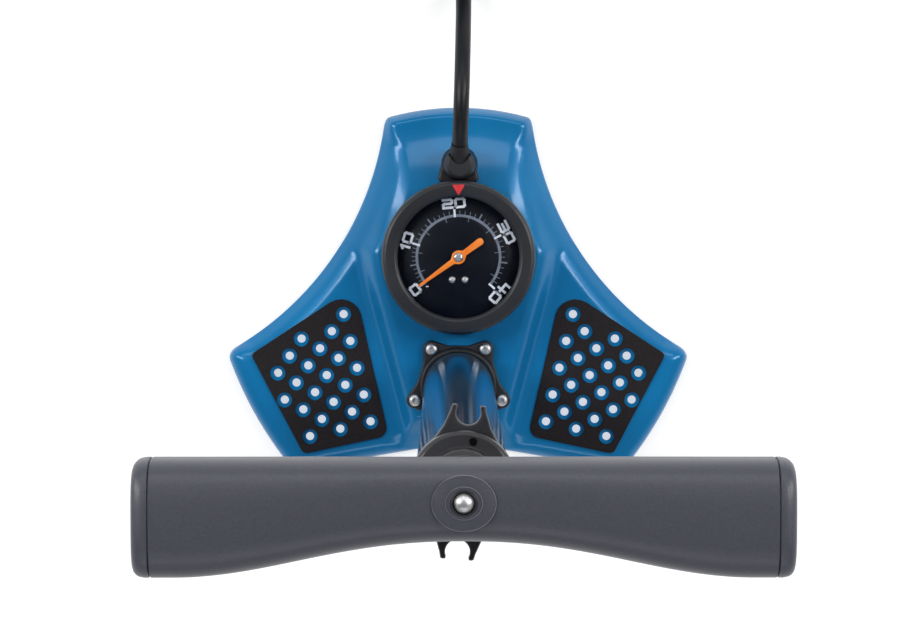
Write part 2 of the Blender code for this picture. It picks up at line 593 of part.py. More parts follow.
def make_top_cap(parent):
    cap = prism("top_cap", fork_outline(), *PLATE_Z, BLACK_PLASTIC, parent)
    section = [(0, CAP_DOME_Z), (8 * MM, CAP_DOME_Z), (CAP_DOME_RADIUS - 1.5 * MM, CAP_DOME_Z - 1.5 * MM),
               (CAP_DOME_RADIUS, CAP_DOME_Z - 5 * MM), (CAP_DOME_RADIUS, 583 * MM),
               (CAP_DISC_RADIUS - 0.7 * MM, 583 * MM), (CAP_DISC_RADIUS, 582.3 * MM),
               (CAP_DISC_RADIUS, 550 * MM), (BARREL_RADIUS + GAP, 550 * MM),
               (BARREL_RADIUS + GAP, PLATE_Z[0]), (18.2 * MM, PLATE_Z[0]), (18.2 * MM, 560.3 * MM),
               (0, 560.3 * MM)]
    body = turned("cap_body", section, None, parent, steps=28)
    CUTTERS.objects.link(body)
    PARTS.objects.unlink(body)
    boolean(cap, body, "UNION")
    ways = [((0, 0, 555 * MM), (0, 0, 600 * MM), 8.3 * MM)]
    boolean(cap, cutter_rods("cap_bore", ways, parent, 20), "DIFFERENCE")
    vent = math.radians(81)
    x, y = 16.6 * MM * math.cos(vent), 16.6 * MM * math.sin(vent)
    boolean(cap, cutter_rods("cap_vent", [((x, y, 555 * MM), (x, y, 600 * MM), VENT_RADIUS)], parent, 10),
            "DIFFERENCE")
    turned("rod_bushing", tube_section(8 * MM, ROD_RADIUS + GAP, CAP_DOME_Z - 1 * MM, 562 * MM), BRASS,
           parent, steps=20)


def make_cylinder_head(parent):
    """The head that closes the upper chamber, with its own intake, outlet and rod seal."""
    section = [(9 * MM, 560 * MM), (18.2 * MM, 560 * MM), (18.2 * MM, 545.3 * MM), (14.2 * MM, 545.3 * MM),
               (14.2 * MM, 532 * MM), (ROD_RADIUS + GAP, 532 * MM), (ROD_RADIUS + GAP, 553 * MM),
               (9 * MM, 553 * MM)]
    head = turned("cylinder_head", section, ALUMINIUM, parent, steps=20)
    ways = [((1.7 * MM, 10.5 * MM, 530 * MM), (1.7 * MM, 10.5 * MM, 565 * MM), 1.2 * MM),
            ((-11 * MM, 0, 530 * MM), (-11 * MM, 0, 549 * MM), 1.2 * MM),
            ((-20 * MM, 0, 549 * MM), (-10.5 * MM, 0, 549 * MM), 1.2 * MM)]
    bore_each(head, "head_way", ways, parent, 8)
    turned("rod_seal", [(8.7 * MM, 558.5 * MM), (8.7 * MM, 553.3 * MM), (ROD_RADIUS + GAP, 553.3 * MM),
                        (ROD_RADIUS + GAP, 558.5 * MM), (7.2 * MM, 556 * MM)], RUBBER, parent, steps=20)
    turned("upper_intake_flap", tube_section(13 * MM, 8.0 * MM, 531.7 * MM, 530.7 * MM), RUBBER, parent,
           steps=20)


# ---- piston, rod and handle --------------------------------------------------------------------------

def make_piston(parent):
    turned("piston_head", [(13.6 * MM, 56 * MM), (13.6 * MM, 44 * MM), (ROD_RADIUS + GAP, 44 * MM),
                           (ROD_RADIUS + GAP, 56 * MM)], ALUMINIUM, parent, steps=24)
    up = [(14.2 * MM, 62 * MM), (14.2 * MM, 59 * MM), (12.6 * MM, 56.3 * MM), (ROD_RADIUS + GAP, 56.3 * MM),
          (ROD_RADIUS + GAP, 59 * MM), (11.8 * MM, 59 * MM), (13.2 * MM, 62 * MM)]
    turned("piston_cup_upper", up, RUBBER, parent, steps=20)
    down = [(r, 100 * MM - z) for r, z in reversed(up)]
    turned("piston_cup_lower", down, RUBBER, parent, steps=20)


def handle_rear_y(x):
    """The rear edge bows in towards the middle, where the hand's fingers part around the rod."""
    t = min(1.0, abs(x) / (115.0 * MM))
    return (-16.6 - 14.6 * (0.5 - 0.5 * math.cos(math.pi * t ** 1.15))) * MM


def handle_section(x, inset=0.0):
    front, rear = HANDLE_FRONT_Y - inset, handle_rear_y(x) + inset
    depth = (front - rear) / 2
    middle = (front + rear) / 2
    thin = 1.5 * MM * (1 - min(1.0, abs(x) / HANDLE_HALF_LENGTH))
    top, bottom = HANDLE_TOP - inset, HANDLE_BOTTOM + thin + inset
    half_height, centre_z = (top - bottom) / 2, (top + bottom) / 2
    points = []
    for k in range(16):
        angle = 2 * math.pi * (k + 0.5) / 16
        c, s = math.cos(angle), math.sin(angle)
        points.append((x, middle + depth * math.copysign(abs(c) ** 0.62, c),
                       centre_z + half_height * math.copysign(abs(s) ** 0.62, s)))
    return points


def make_handle(parent):
    end = HANDLE_HALF_LENGTH - END_CAP_THICKNESS - GAP
    stations = [-end + 2 * end * k / 14 for k in range(15)]
    handle = lofted("handle_body", [handle_section(x) for x in stations], HANDLE_PLASTIC, parent)
    for side, word in ((-1, "left"), (1, "right")):
        inner = [side * (HANDLE_CORE + (end + 3 * MM - HANDLE_CORE) * k / 4) for k in range(5)]
        rings = [handle_section(x, 3.2 * MM) for x in inner]
        cavity = lofted(f"handle_cavity_{word}", rings, None, parent, CUTTERS)
        boolean(handle, cavity, "DIFFERENCE")
        outer = []
        for x, inset in ((0, 0), (END_CAP_THICKNESS - 3 * MM, 0), (END_CAP_THICKNESS - 1 * MM, 1 * MM),
                         (END_CAP_THICKNESS, 3 * MM)):
            ring = handle_section(end, inset)
            outer.append([(side * (end + GAP + x), y, z) for _, y, z in ring])
        lofted(f"handle_end_cap_{word}", outer, HANDLE_PLASTIC, parent)
    bores = [((0, 0, 600 * MM), (0, 0, ROD_TOP + GAP), ROD_RADIUS + GAP),
             ((0, 0, ROD_TOP - 1 * MM), (0, 0, 670 * MM), 4.6 * MM)]
    bore_each(handle, "handle_bore", bores, parent, 20)
    top = HANDLE_TOP + GAP
    turned("handle_bolt", [(0, top + 2.7 * MM), (2.2 * MM, top + 2.3 * MM), (4.05 * MM, top + 0.4 * MM),
                           (4.05 * MM, ROD_TOP + GAP), (0, ROD_TOP + GAP)], STEEL, parent, steps=20)
    turned("handle_badge", tube_section(12.2 * MM, 4.6 * MM, top + 0.8 * MM, top, 0.3 * MM), HANDLE_PLASTIC,
           parent, steps=20)
    turned("piston_rod", disc_section(ROD_RADIUS, ROD_TOP, ROD_BOTTOM), STEEL, parent, steps=20)
    turned("rod_bumper", tube_section(11 * MM, ROD_RADIUS + GAP, 616.0 * MM, CAP_DOME_Z + GAP, 2 * MM),
           RUBBER, parent, steps=24)


# ---- hose and pump head ---------------------------------------------------------------------------------

def make_hose(parent):
    exit_x, exit_y, exit_z = (v * MM for v in HOSE_EXIT)
    corners = [(8.2, 136.8), (-8.2, 136.8), (-12.6, 118.0), (12.6, 118.0)]
    foot = rounded([(exit_x + x * MM, y * MM) for x, y in corners], [4 * MM, 4 * MM, 3 * MM, 3 * MM])
    gland = prism("hose_gland", foot, SPINE_Z + GAP, 29.6 * MM, BLACK_PLASTIC, parent)
    boss = [((exit_x, GLAND_Y, 26 * MM), (exit_x, GLAND_Y, 47.5 * MM), 8.6 * MM)]
    boolean(gland, cutter_rods("gland_boss", boss, parent, 24), "UNION")
    direction = Vector((0, 9.5, 7.2)).normalized()
    mouth = Vector((exit_x, exit_y, exit_z))
    socket = cutter_rods("gland_socket", [(mouth - direction * 9 * MM, mouth + direction * 20 * MM,
                                           5.9 * MM)], parent, 20)
    boolean(gland, socket, "DIFFERENCE")
    spigot = [((exit_x, GLAND_Y, 16 * MM), (exit_x, GLAND_Y, 30 * MM), 6 * MM)]
    boolean(gland, cutter_rods("gland_spigot", spigot, parent, 16), "UNION")
    rods("hose_relief", [(mouth - direction * 8.6 * MM, mouth - direction * 0.3 * MM, 5.5 * MM)],
         RUBBER, parent, 16)
    tube_curve("hose", smooth_run(HOSE_RUN, 12 * MM), HOSE_RADIUS, RUBBER, parent)
    x, y = (v * MM for v in COIL_CENTRE)
    inner, outer = (r * MM for r in COIL_RADII)
    turned("hose_coil", tube_section(outer, inner, COIL_HEIGHT * MM, 0.2 * MM, 2 * MM), RUBBER, parent,
           (x, y, 0), 24)
    tube_curve("hose_tail", smooth_run(HOSE_TAIL, 12 * MM), HOSE_RADIUS, RUBBER, parent)


def make_pump_head(parent):
    """The head lies on its side: the hose comes in along +X and the valve socket faces +Y."""
    head = empty("pump_head", (HEAD_X, HEAD_Y, HEAD_Z), parent)
    body = rods("head_body", [((0.3 * MM, 0, 0), (58 * MM, 0, 0), 8 * MM)], BLACK_PLASTIC, head, 16)
    barrel = [((46 * MM, -8 * MM, 0), (46 * MM, 14 * MM, 0), 9.8 * MM)]
    boolean(body, cutter_rods("head_barrel", barrel, head, 20), "UNION")
    bore = [((46 * MM, -1 * MM, 0), (46 * MM, 20 * MM, 0), 6.4 * MM)]
    boolean(body, cutter_rods("head_bore", bore, head, 16), "DIFFERENCE")
    slot = [(34 * MM, -20 * MM), (58.1 * MM, -20 * MM), (58.1 * MM, -3.0 * MM), (34 * MM, -3.0 * MM)]
    boolean(body, prism("head_slot", slot, -3.3 * MM, 3.3 * MM, None, head, CUTTERS), "DIFFERENCE")
    pin_hole = [((46 * MM, -6.5 * MM, -20 * MM), (46 * MM, -6.5 * MM, 20 * MM), 1.8 * MM)]
    boolean(body, cutter_rods("head_pin_hole", pin_hole, head, 12), "DIFFERENCE")
    rods("lever_pin", [((46 * MM, -6.5 * MM, -8.5 * MM), (46 * MM, -6.5 * MM, 8.5 * MM), 1.5 * MM)],
         STEEL, head, 12)
    outline = [(49.0, -9.0), (49.1, -6.5), (48.2, -4.3), (43.8, -4.3), (41.0, -8.4), (20.0, -9.2),
               (8.0, -9.6), (2.0, -11.0), (2.5, -14.0), (9.0, -13.4), (42.0, -12.6), (47.0, -11.4)]
    points = [(x * MM, y * MM) for x, y in outline]
    lever = prism("head_lever", points, -3.0 * MM, 3.0 * MM, BLACK_PLASTIC, head)
    hole = [((46 * MM, -6.5 * MM, -20 * MM), (46 * MM, -6.5 * MM, 20 * MM), 1.8 * MM)]
    boolean(lever, cutter_rods("lever_pin_hole", hole, head, 12), "DIFFERENCE")
    for name, r_out, r_in, low, high, mat in (("head_gasket", 6.1, 3.4, 4.0, 13.8, RUBBER),
                                              ("head_collar", 9.6, 4.3, 14.3, 20.0, ALUMINIUM)):
        ring = turned(name, tube_section(r_out * MM, r_in * MM, high * MM, low * MM), mat, head,
                      (46 * MM, 0, 0), 20)
        ring.rotation_euler = (math.radians(-90), 0, 0)


def main():
    outline = base_outline()
    middle_y = (max(y for _, y in outline) + min(y for _, y in outline)) / 2
    axis = empty("barrel_axis", (0, -middle_y, 0))
    make_base(axis)
    make_grip_pad("grip_pad_left", -1, axis)
    make_grip_pad("grip_pad_right", 1, axis)
    make_feet(axis)
    make_flange(axis)
    make_barrel(axis)
    make_valve_block(axis)
    gauge = empty("gauge_axis", (0, GAUGE_Y, 0), axis)
    make_gauge(gauge)
    make_needle(gauge)
    make_movement(gauge)
    make_top_cap(empty("cap_turn", parent=axis, turn=CAP_TURN))
    make_cylinder_head(axis)
    make_piston(axis)
    make_handle(axis)
    make_hose(axis)
    make_pump_head(axis)


main()
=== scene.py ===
import math

import bmesh
import bpy
import numpy as np
from mathutils import Matrix, Vector


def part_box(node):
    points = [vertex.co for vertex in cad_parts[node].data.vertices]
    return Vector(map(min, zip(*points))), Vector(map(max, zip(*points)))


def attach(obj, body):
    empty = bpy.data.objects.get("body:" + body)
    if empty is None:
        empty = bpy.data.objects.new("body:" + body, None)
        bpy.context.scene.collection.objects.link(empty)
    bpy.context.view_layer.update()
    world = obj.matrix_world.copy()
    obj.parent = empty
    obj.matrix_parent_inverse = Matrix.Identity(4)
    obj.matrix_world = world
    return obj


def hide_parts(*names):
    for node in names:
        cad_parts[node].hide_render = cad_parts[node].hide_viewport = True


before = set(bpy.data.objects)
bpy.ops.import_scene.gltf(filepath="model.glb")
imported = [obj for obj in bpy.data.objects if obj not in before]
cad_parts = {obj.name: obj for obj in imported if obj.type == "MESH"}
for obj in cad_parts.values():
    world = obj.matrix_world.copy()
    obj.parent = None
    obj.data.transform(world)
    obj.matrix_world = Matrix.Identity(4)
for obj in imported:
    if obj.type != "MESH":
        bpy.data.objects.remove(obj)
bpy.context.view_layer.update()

MM = 0.001
BODY = "pump_body"
HANDLE = "handle_and_rod"

# places worked out from the frame
BARREL_LOW, BARREL_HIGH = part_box("barrel")
AXIS = Vector(((BARREL_LOW[0] + BARREL_HIGH[0]) / 2, (BARREL_LOW[1] + BARREL_HIGH[1]) / 2, 0.0))
BEZEL_LOW, BEZEL_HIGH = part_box("gauge_bezel")
GAUGE = Vector(((BEZEL_LOW[0] + BEZEL_HIGH[0]) / 2, (BEZEL_LOW[1] + BEZEL_HIGH[1]) / 2, 0.0))


# ---- camera, light and floor ----

CAMERA_LENS = 128.74
CAMERA_PLACE = (-6.7, 140.1, 1939.1)     # millimetres from the foot of the barrel's axis
CAMERA_TILT = (-3.045, -0.229)           # degrees about X and Y, from straight down

def make_camera():
    """High above the gauge's far side, looking almost straight down, with the front edge at the top."""
    data = bpy.data.cameras.new("camera")
    data.sensor_width = 36.0
    data.lens = CAMERA_LENS
    camera = bpy.data.objects.new("camera", data)
    camera.location = AXIS + Vector(CAMERA_PLACE) * MM
    about_x, about_y = (math.radians(angle) for angle in CAMERA_TILT)
    camera.rotation_euler = (Matrix.Rotation(about_x, 3, "X") @ Matrix.Rotation(about_y, 3, "Y")).to_euler()
    bpy.context.scene.collection.objects.link(camera)
    bpy.context.scene.camera = camera


def area_light(name, place, target, size, power):
    data = bpy.data.lights.new(name, "AREA")
    data.shape = "RECTANGLE"
    data.size, data.size_y = size
    data.energy = power
    light = bpy.data.objects.new(name, data)
    light.location = place
    light.rotation_euler = (Vector(target) - light.location).to_track_quat("-Z", "Y").to_euler()
    bpy.context.scene.collection.objects.link(light)


def make_studio():
    """A light table: a softly glowing white floor, a dim surround and soft boxes on three sides."""
    bpy.context.scene.view_settings.view_transform = "Standard"
    world = bpy.data.worlds.new("studio")
    world.use_nodes = True
    nodes, links = world.node_tree.nodes, world.node_tree.links
    place, split = nodes.new("ShaderNodeTexCoord"), nodes.new("ShaderNodeSeparateXYZ")
    sky = nodes.new("ShaderNodeValToRGB")
    sky.color_ramp.elements[0].position, sky.color_ramp.elements[1].position = 0.08, 0.45
    sky.color_ramp.elements[0].color = (0.72, 0.74, 0.76, 1.0)
    sky.color_ramp.elements[1].color = (0.1, 0.105, 0.11, 1.0)
    links.new(place.outputs["Generated"], split.inputs["Vector"])
    links.new(split.outputs["Z"], sky.inputs["Fac"])
    links.new(sky.outputs["Color"], nodes["Background"].inputs["Color"])
    bpy.context.scene.world = world
    area_light("light_left", (-1.5, 0.55, 1.7), (0, 0.05, 0.1), (0.45, 1.6), 26)
    area_light("light_right", (1.5, 0.55, 1.7), (0, 0.05, 0.1), (0.45, 1.6), 26)
    area_light("light_front", (0.0, 1.7, 1.9), (0, 0.0, 0.2), (2.0, 0.9), 13)
    area_light("light_rear", (0.0, -1.6, 1.9), (0, 0.0, 0.4), (2.0, 0.5), 8)
    bpy.ops.mesh.primitive_plane_add(size=12)
    floor = bpy.context.object
    floor.name = "floor"
    white = plain_material("floor_white", (0.5, 0.5, 0.5), 0.9)
    shader = white.node_tree.nodes["Principled BSDF"]
    shader.inputs["Emission Color"].default_value = (1.0, 1.0, 1.0, 1.0)
    shader.inputs["Emission Strength"].default_value = 0.62
    floor.data.materials.append(white)


# ---- materials ----

def plain_material(name, color, roughness):
    mat = bpy.data.materials.new(name)
    mat.use_nodes = True
    shader = mat.node_tree.nodes["Principled BSDF"]
    shader.inputs["Base Color"].default_value = (*color, 1.0)
    shader.inputs["Roughness"].default_value = roughness
    return mat


def surface(name, dark, light, rough, scale, bump=0.1, bump_scale=None, bump_size=0.0002, metallic=0.0,
            coat=0.0, coat_rough=0.08, specular=0.5, spread=(0.35, 0.65), wave=None, stretch=(1, 1, 1),
            alpha=1.0, transmission=0.0, ior=1.5):
    """A Principled material: colour and roughness drift over the surface, with a fine bump on it.

    dark, light: the two colours that the slow noise mixes. rough: lowest and highest roughness.
    scale: slow noise per metre. bump_scale: fine noise per metre. wave: ridges per metre, for brushing.
    bump_size: height of the relief in metres. spread: where the slow noise turns from dark to light.
    """
    mat = bpy.data.materials.new(name)
    mat.use_nodes = True
    nodes, links = mat.node_tree.nodes, mat.node_tree.links
    shader = nodes["Principled BSDF"]
    shader.inputs["Metallic"].default_value = metallic
    shader.inputs["Coat Weight"].default_value = coat
    shader.inputs["Coat Roughness"].default_value = coat_rough
    shader.inputs["Alpha"].default_value = alpha
    shader.inputs["Transmission Weight"].default_value = transmission
    shader.inputs["IOR"].default_value = ior
    shader.inputs["Specular IOR Level"].default_value = specular
    place = nodes.new("ShaderNodeTexCoord")
    mapping = nodes.new("ShaderNodeMapping")
    mapping.inputs["Scale"].default_value = stretch
    links.new(place.outputs["Object"], mapping.inputs["Vector"])
    slow = nodes.new("ShaderNodeTexNoise")
    slow.inputs["Scale"].default_value = scale
    slow.inputs["Detail"].default_value = 4.0
    links.new(mapping.outputs["Vector"], slow.inputs["Vector"])
    ramp = nodes.new("ShaderNodeValToRGB")
    ramp.color_ramp.elements[0].position, ramp.color_ramp.elements[1].position = spread
    ramp.color_ramp.elements[0].color = (*dark, 1.0)
    ramp.color_ramp.elements[1].color = (*light, 1.0)
    links.new(slow.outputs["Fac"], ramp.inputs["Fac"])
    links.new(ramp.outputs["Color"], shader.inputs["Base Color"])
    fine = nodes.new("ShaderNodeTexNoise")
    fine.inputs["Scale"].default_value = bump_scale or scale * 20
    fine.inputs["Detail"].default_value = 3.0
    links.new(mapping.outputs["Vector"], fine.inputs["Vector"])
    height = fine.outputs["Fac"]
    if wave:
        brush = nodes.new("ShaderNodeTexWave")
        brush.inputs["Scale"].default_value = wave
        brush.inputs["Distortion"].default_value = 2.0
        links.new(mapping.outputs["Vector"], brush.inputs["Vector"])
        height = brush.outputs["Fac"]
    rough_map = nodes.new("ShaderNodeMapRange")
    rough_map.inputs["To Min"].default_value = rough[0]
    rough_map.inputs["To Max"].default_value = rough[1]
    links.new(slow.outputs["Fac"], rough_map.inputs["Value"])
    links.new(rough_map.outputs["Result"], shader.inputs["Roughness"])
    if bump > 0:
        relief = nodes.new("ShaderNodeBump")
        relief.inputs["Strength"].default_value = bump
        relief.inputs["Distance"].default_value = bump_size
        links.new(height, relief.inputs["Height"])
        links.new(relief.outputs["Normal"], shader.inputs["Normal"])
    return mat


PAINT = surface("blue_paint", (0.002, 0.15, 0.365), (0.004, 0.185, 0.43), (0.27, 0.32), 9.0, bump=0.05,
                bump_scale=900.0, bump_size=0.0001, coat=0.42, coat_rough=0.12, metallic=0.1, specular=0.2)
METAL_BLUE = surface("blue_lacquer", (0.01, 0.23, 0.5), (0.022, 0.28, 0.58), (0.1, 0.17), 14.0, bump=0.03,
                     bump_scale=1400.0, bump_size=0.00005, metallic=0.88, coat=0.18, stretch=(1, 1, 0.2))
TAPE = surface("grip_tape", (0.01, 0.008, 0.009), (0.022, 0.018, 0.02), (0.85, 1.0), 1400.0, bump=0.9,
               bump_scale=2600.0, bump_size=0.0004, specular=0.25)
RUBBER = surface("rubber", (0.008, 0.008, 0.01), (0.016, 0.016, 0.019), (0.5, 0.7), 60.0, bump=0.25,
                 bump_scale=1500.0, bump_size=0.0001, specular=0.35)
HOSE_RUBBER = surface("hose_rubber", (0.003, 0.004, 0.006), (0.007, 0.008, 0.011), (0.34, 0.46), 50.0,
                      bump=0.2, bump_scale=1200.0, bump_size=0.0001, specular=0.3)
BLACK = surface("black_plastic", (0.009, 0.009, 0.012), (0.016, 0.016, 0.02), (0.38, 0.5), 30.0, bump=0.3,
                bump_scale=2200.0, bump_size=0.0001, specular=0.4)
BEZEL_BLACK = surface("bezel_plastic", (0.01, 0.011, 0.015), (0.016, 0.017, 0.022), (0.34, 0.44), 22.0,
                      bump=0.2, bump_scale=2400.0, bump_size=0.0001)
CAP_GREY = surface("cap_plastic", (0.012, 0.012, 0.015), (0.018, 0.018, 0.022), (0.36, 0.46), 40.0,
                   bump=0.35, bump_scale=2600.0, bump_size=0.0001, coat=0.4, coat_rough=0.12, specular=0.4)
HANDLE_GREY = surface("handle_plastic", (0.046, 0.048, 0.063), (0.056, 0.058, 0.075), (0.36, 0.44), 900.0,
                      bump=0.5, bump_scale=1700.0, bump_size=0.0002, spread=(0.3, 0.7))
EDGE_GREY = surface("edge_plastic", (0.1, 0.1, 0.115), (0.14, 0.14, 0.155), (0.3, 0.42), 50.0, bump=0.3,
                    bump_scale=2200.0, bump_size=0.0001)
SATIN_STEEL = surface("satin_steel", (0.5, 0.49, 0.5), (0.68, 0.67, 0.68), (0.38, 0.5), 300.0, bump=0.2,
                      bump_scale=2600.0, bump_size=0.00005, metallic=1.0)
STEEL = surface("polished_steel", (0.5, 0.5, 0.52), (0.72, 0.72, 0.74), (0.12, 0.26), 120.0, bump=0.08,
                bump_scale=2000.0, bump_size=0.00005, metallic=1.0)
ROD_STEEL = surface("rod_steel", (0.5, 0.51, 0.53), (0.6, 0.61, 0.63), (0.12, 0.2), 30.0, bump=0.06,
                    bump_size=0.00005, metallic=1.0, wave=900.0)
BRASS = surface("brass", (0.6, 0.42, 0.16), (0.76, 0.57, 0.28), (0.25, 0.42), 80.0, bump=0.1, metallic=1.0,
                bump_size=0.00005, wave=700.0)
ALUMINIUM = surface("aluminium", (0.6, 0.61, 0.63), (0.76, 0.77, 0.79), (0.28, 0.42), 60.0, bump=0.15,
                    bump_size=0.00005, metallic=1.0, wave=800.0)
DIAL_BLACK = surface("dial_black", (0.002, 0.003, 0.008), (0.004, 0.006, 0.012), (0.32, 0.42), 70.0,
                     bump=0.04, bump_scale=1800.0, bump_size=0.00005, specular=0.15)
DIAL_PRINT = surface("dial_print", (0.13, 0.155, 0.2), (0.19, 0.22, 0.28), (0.5, 0.62), 200.0, bump=0.05,
                     bump_size=0.00005)
DIAL_FIGURES = surface("dial_figures", (0.62, 0.67, 0.78), (0.78, 0.82, 0.9), (0.5, 0.62), 200.0, bump=0.05,
                       bump_size=0.00005)
ORANGE = surface("needle_orange", (0.9, 0.19, 0.008), (0.98, 0.27, 0.02), (0.35, 0.46), 150.0, bump=0.05,
                 bump_size=0.00005)
RED = surface("marker_red", (0.52, 0.012, 0.018), (0.66, 0.03, 0.035), (0.4, 0.5), 150.0, bump=0.05,
              bump_size=0.00005)
GLASS = surface("gauge_glass", (0.97, 0.98, 1.0), (1.0, 1.0, 1.0), (0.02, 0.04), 30.0, bump=0.0,
                transmission=1.0, ior=1.3, alpha=0.16, specular=0.2)


# ---- mesh helpers ----

def keep(obj, mat, replaces=(), body=BODY, smooth=40):
    """Gives a piece its material, shading and body, and says which CAD nodes it stands for."""
    obj.data.materials.clear()
    obj.data.materials.append(mat)
    obj.data.shade_smooth()
    obj.data.set_sharp_from_angle(angle=math.radians(smooth))
    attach(obj, body)
    if replaces:
        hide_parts(*replaces)


def link(name, mesh, place=(0, 0, 0)):
    obj = bpy.data.objects.new(name, mesh)
    obj.location = place
    bpy.context.scene.collection.objects.link(obj)
    return obj


def finish(bm, name, place=(0, 0, 0)):
    """Turns a bmesh into a linked object, with its faces facing outwards."""
    bmesh.ops.recalc_face_normals(bm, faces=bm.faces)
    mesh = bpy.data.meshes.new(name)
    bm.to_mesh(mesh)
    bm.free()
    return link(name, mesh, place)


def mesh_object(name, verts, faces, place=(0, 0, 0)):
    bm = bmesh.new()
    made = [bm.verts.new(v) for v in verts]
    for face in faces:
        bm.faces.new([made[i] for i in face])
    return finish(bm, name, place)


def turn_solid(bm, section, steps=96, place=(0, 0)):
    """Draws a turned solid from (radius, height) pairs; radius 0 closes it on the axis. Millimetres."""
    rings = []
    for radius, height in section:
        angles = [2 * math.pi * k / steps for k in range(1 if radius == 0 else steps)]
        rings.append([bm.verts.new((place[0] * MM + radius * MM * math.cos(angle),
                                    place[1] * MM + radius * MM * math.sin(angle), height * MM))
                      for angle in angles])
    pairs = list(zip(rings, rings[1:]))
    if section[0][0] > 0 and section[-1][0] > 0:
        pairs.append((rings[-1], rings[0]))
    for upper, lower in pairs:
        for k in range(steps):
            j = (k + 1) % steps
            corners = [upper[k % len(upper)], lower[k % len(lower)], lower[j % len(lower)],
                       upper[j % len(upper)]]
            corners = list(dict.fromkeys(corners))
            if len(corners) > 2:
                bm.faces.new(corners)


def lathe(name, section, place=(0, 0, 0), steps=96):
    bm = bmesh.new()
    turn_solid(bm, section, steps)
    return finish(bm, name, place)


def rounded_section(corners, steps=5):
    """Rounds the corners of a section. Each corner is (radius, height, rounding), in millimetres."""
    out = []
    for i, (r, z, size) in enumerate(corners):
        if size == 0:
            out.append((r, z))
            continue
        here = Vector((r, z))
        before = Vector(corners[i - 1][:2]) - here
        after = Vector(corners[(i + 1) % len(corners)][:2]) - here
        a, b = here + before.normalized() * size, here + after.normalized() * size
        for k in range(steps + 1):
            t = k / steps
            point = a.lerp(here, t).lerp(here.lerp(b, t), t)
            out.append((point.x, point.y))
    return out


def skin(bm, rings):
    """Joins rings of points (metres) into a closed solid."""
    loops = [[bm.verts.new(point) for point in ring] for ring in rings]
    count = len(loops[0])
    for a, b in zip(loops, loops[1:]):
        for k in range(count):
            bm.faces.new([a[k], a[(k + 1) % count], b[(k + 1) % count], b[k]])
    bm.faces.new(loops[0])
    bm.faces.new(loops[-1])


def loft(name, rings, place=(0, 0, 0)):
    bm = bmesh.new()
    skin(bm, rings)
    return finish(bm, name, place)


def slab(name, outline, low, high, edge=0.3, place=(0, 0, 0), steps=3):
    """A flat plate from an outline in millimetres, with its upper and lower edges rounded."""
    points = [Vector((x, y)) for x, y in outline]
    area = sum(a.x * b.y - b.x * a.y for a, b in zip(points, points[1:] + points[:1]))
    if area < 0:
        points.reverse()
    normals = []
    for i, here in enumerate(points):
        run = (points[(i + 1) % len(points)] - points[i - 1]).normalized()
        normals.append(Vector((run.y, -run.x)))
    rings = []
    for k in range(steps + 1):
        angle = math.pi / 2 * k / steps
        rings.append((edge * (1 - math.sin(angle)), low + edge * (1 - math.cos(angle))))
    rings += [(inset, high - (z - low)) for inset, z in reversed(rings)]
    loops = [[((p.x - n.x * inset) * MM, (p.y - n.y * inset) * MM, z * MM)
              for p, n in zip(points, normals)] for inset, z in rings]
    return loft(name, loops, place)


def arc(centre, radius, start, end, steps):
    return [(centre[0] + radius * math.cos(math.radians(start + (end - start) * k / steps)),
             centre[1] + radius * math.sin(math.radians(start + (end - start) * k / steps)))
            for k in range(steps + 1)]


def cylinder(bm, start, end, radius, sides=24, radius_end=None):
    """Draws a cylinder or cone between two places, in millimetres."""
    start, end = (Vector([v * MM for v in place]) for place in (start, end))
    turn = (end - start).to_track_quat("Z", "Y").to_matrix().to_4x4()
    bmesh.ops.create_cone(bm, cap_ends=True, segments=sides, radius1=radius * MM,
                          radius2=(radius_end or radius) * MM,
                          depth=(end - start).length, matrix=Matrix.Translation((start + end) / 2) @ turn)


def post(bm, place, low, high, radius, sides=24):
    """Draws an upright cylinder, in millimetres."""
    cylinder(bm, (*place, low), (*place, high), radius, sides)


def cut(obj, fill, operation="DIFFERENCE"):
    """Applies a Boolean with a helper solid, which fill(bm) draws in the object's own space."""
    bm = bmesh.new()
    fill(bm)
    helper = finish(bm, "helper", obj.location)
    modifier = obj.modifiers.new("cut", "BOOLEAN")
    modifier.operation = operation
    modifier.solver = "MANIFOLD"
    modifier.object = helper
    bpy.context.view_layer.update()
    evaluated = obj.evaluated_get(bpy.context.evaluated_depsgraph_get())
    mesh = bpy.data.meshes.new_from_object(evaluated)
    obj.modifiers.clear()
    obj.data = mesh
    bpy.data.objects.remove(helper, do_unlink=True)


# ---- hose ----
# From here on lengths are in millimetres, unless they say otherwise. Places are from the foot of the
# barrel's axis, apart from the gauge's and the pump head's parts, which are drawn about GAUGE and HEAD.

HOSE_RADIUS = 4.5
HOSE_REST = 4.8                    # height of the hose's axis where it lies on the floor
HOSE_RUN = [
    (0.6, 132.5, 42.0), (0.8, 142.0, 48.6), (1.2, 153.0, 53.6), (1.6, 165.0, 55.6),
    (2.0, 177.0, 54.2), (2.3, 188.5, 49.2), (2.6, 199.0, 41.4), (2.8, 208.5, 32.4),
    (3.0, 218.0, 23.2), (3.0, 228.5, 14.6), (3.0, 240.5, 8.0), (3.0, 253.0, 5.2),
    (3.0, 265.1, HOSE_REST), (3.0, 280.0, HOSE_REST),
]
COIL_CENTRE = (-46.5, 296.0)
COIL_RADIUS = 49.5
COIL_TURNS = 2.75
COIL_RISE = 9.06                   # from one turn to the next
HOSE_TAIL = [
    (-31.0, 246.5, 29.9), (-15.5, 246.5, 29.8), (-4.0, 246.5, 28.9), (8.0, 246.5, 25.9),
    (20.0, 246.5, 21.2), (32.0, 246.5, 16.4), (43.5, 246.5, 12.6), (55.5, 246.5, 10.6),
]


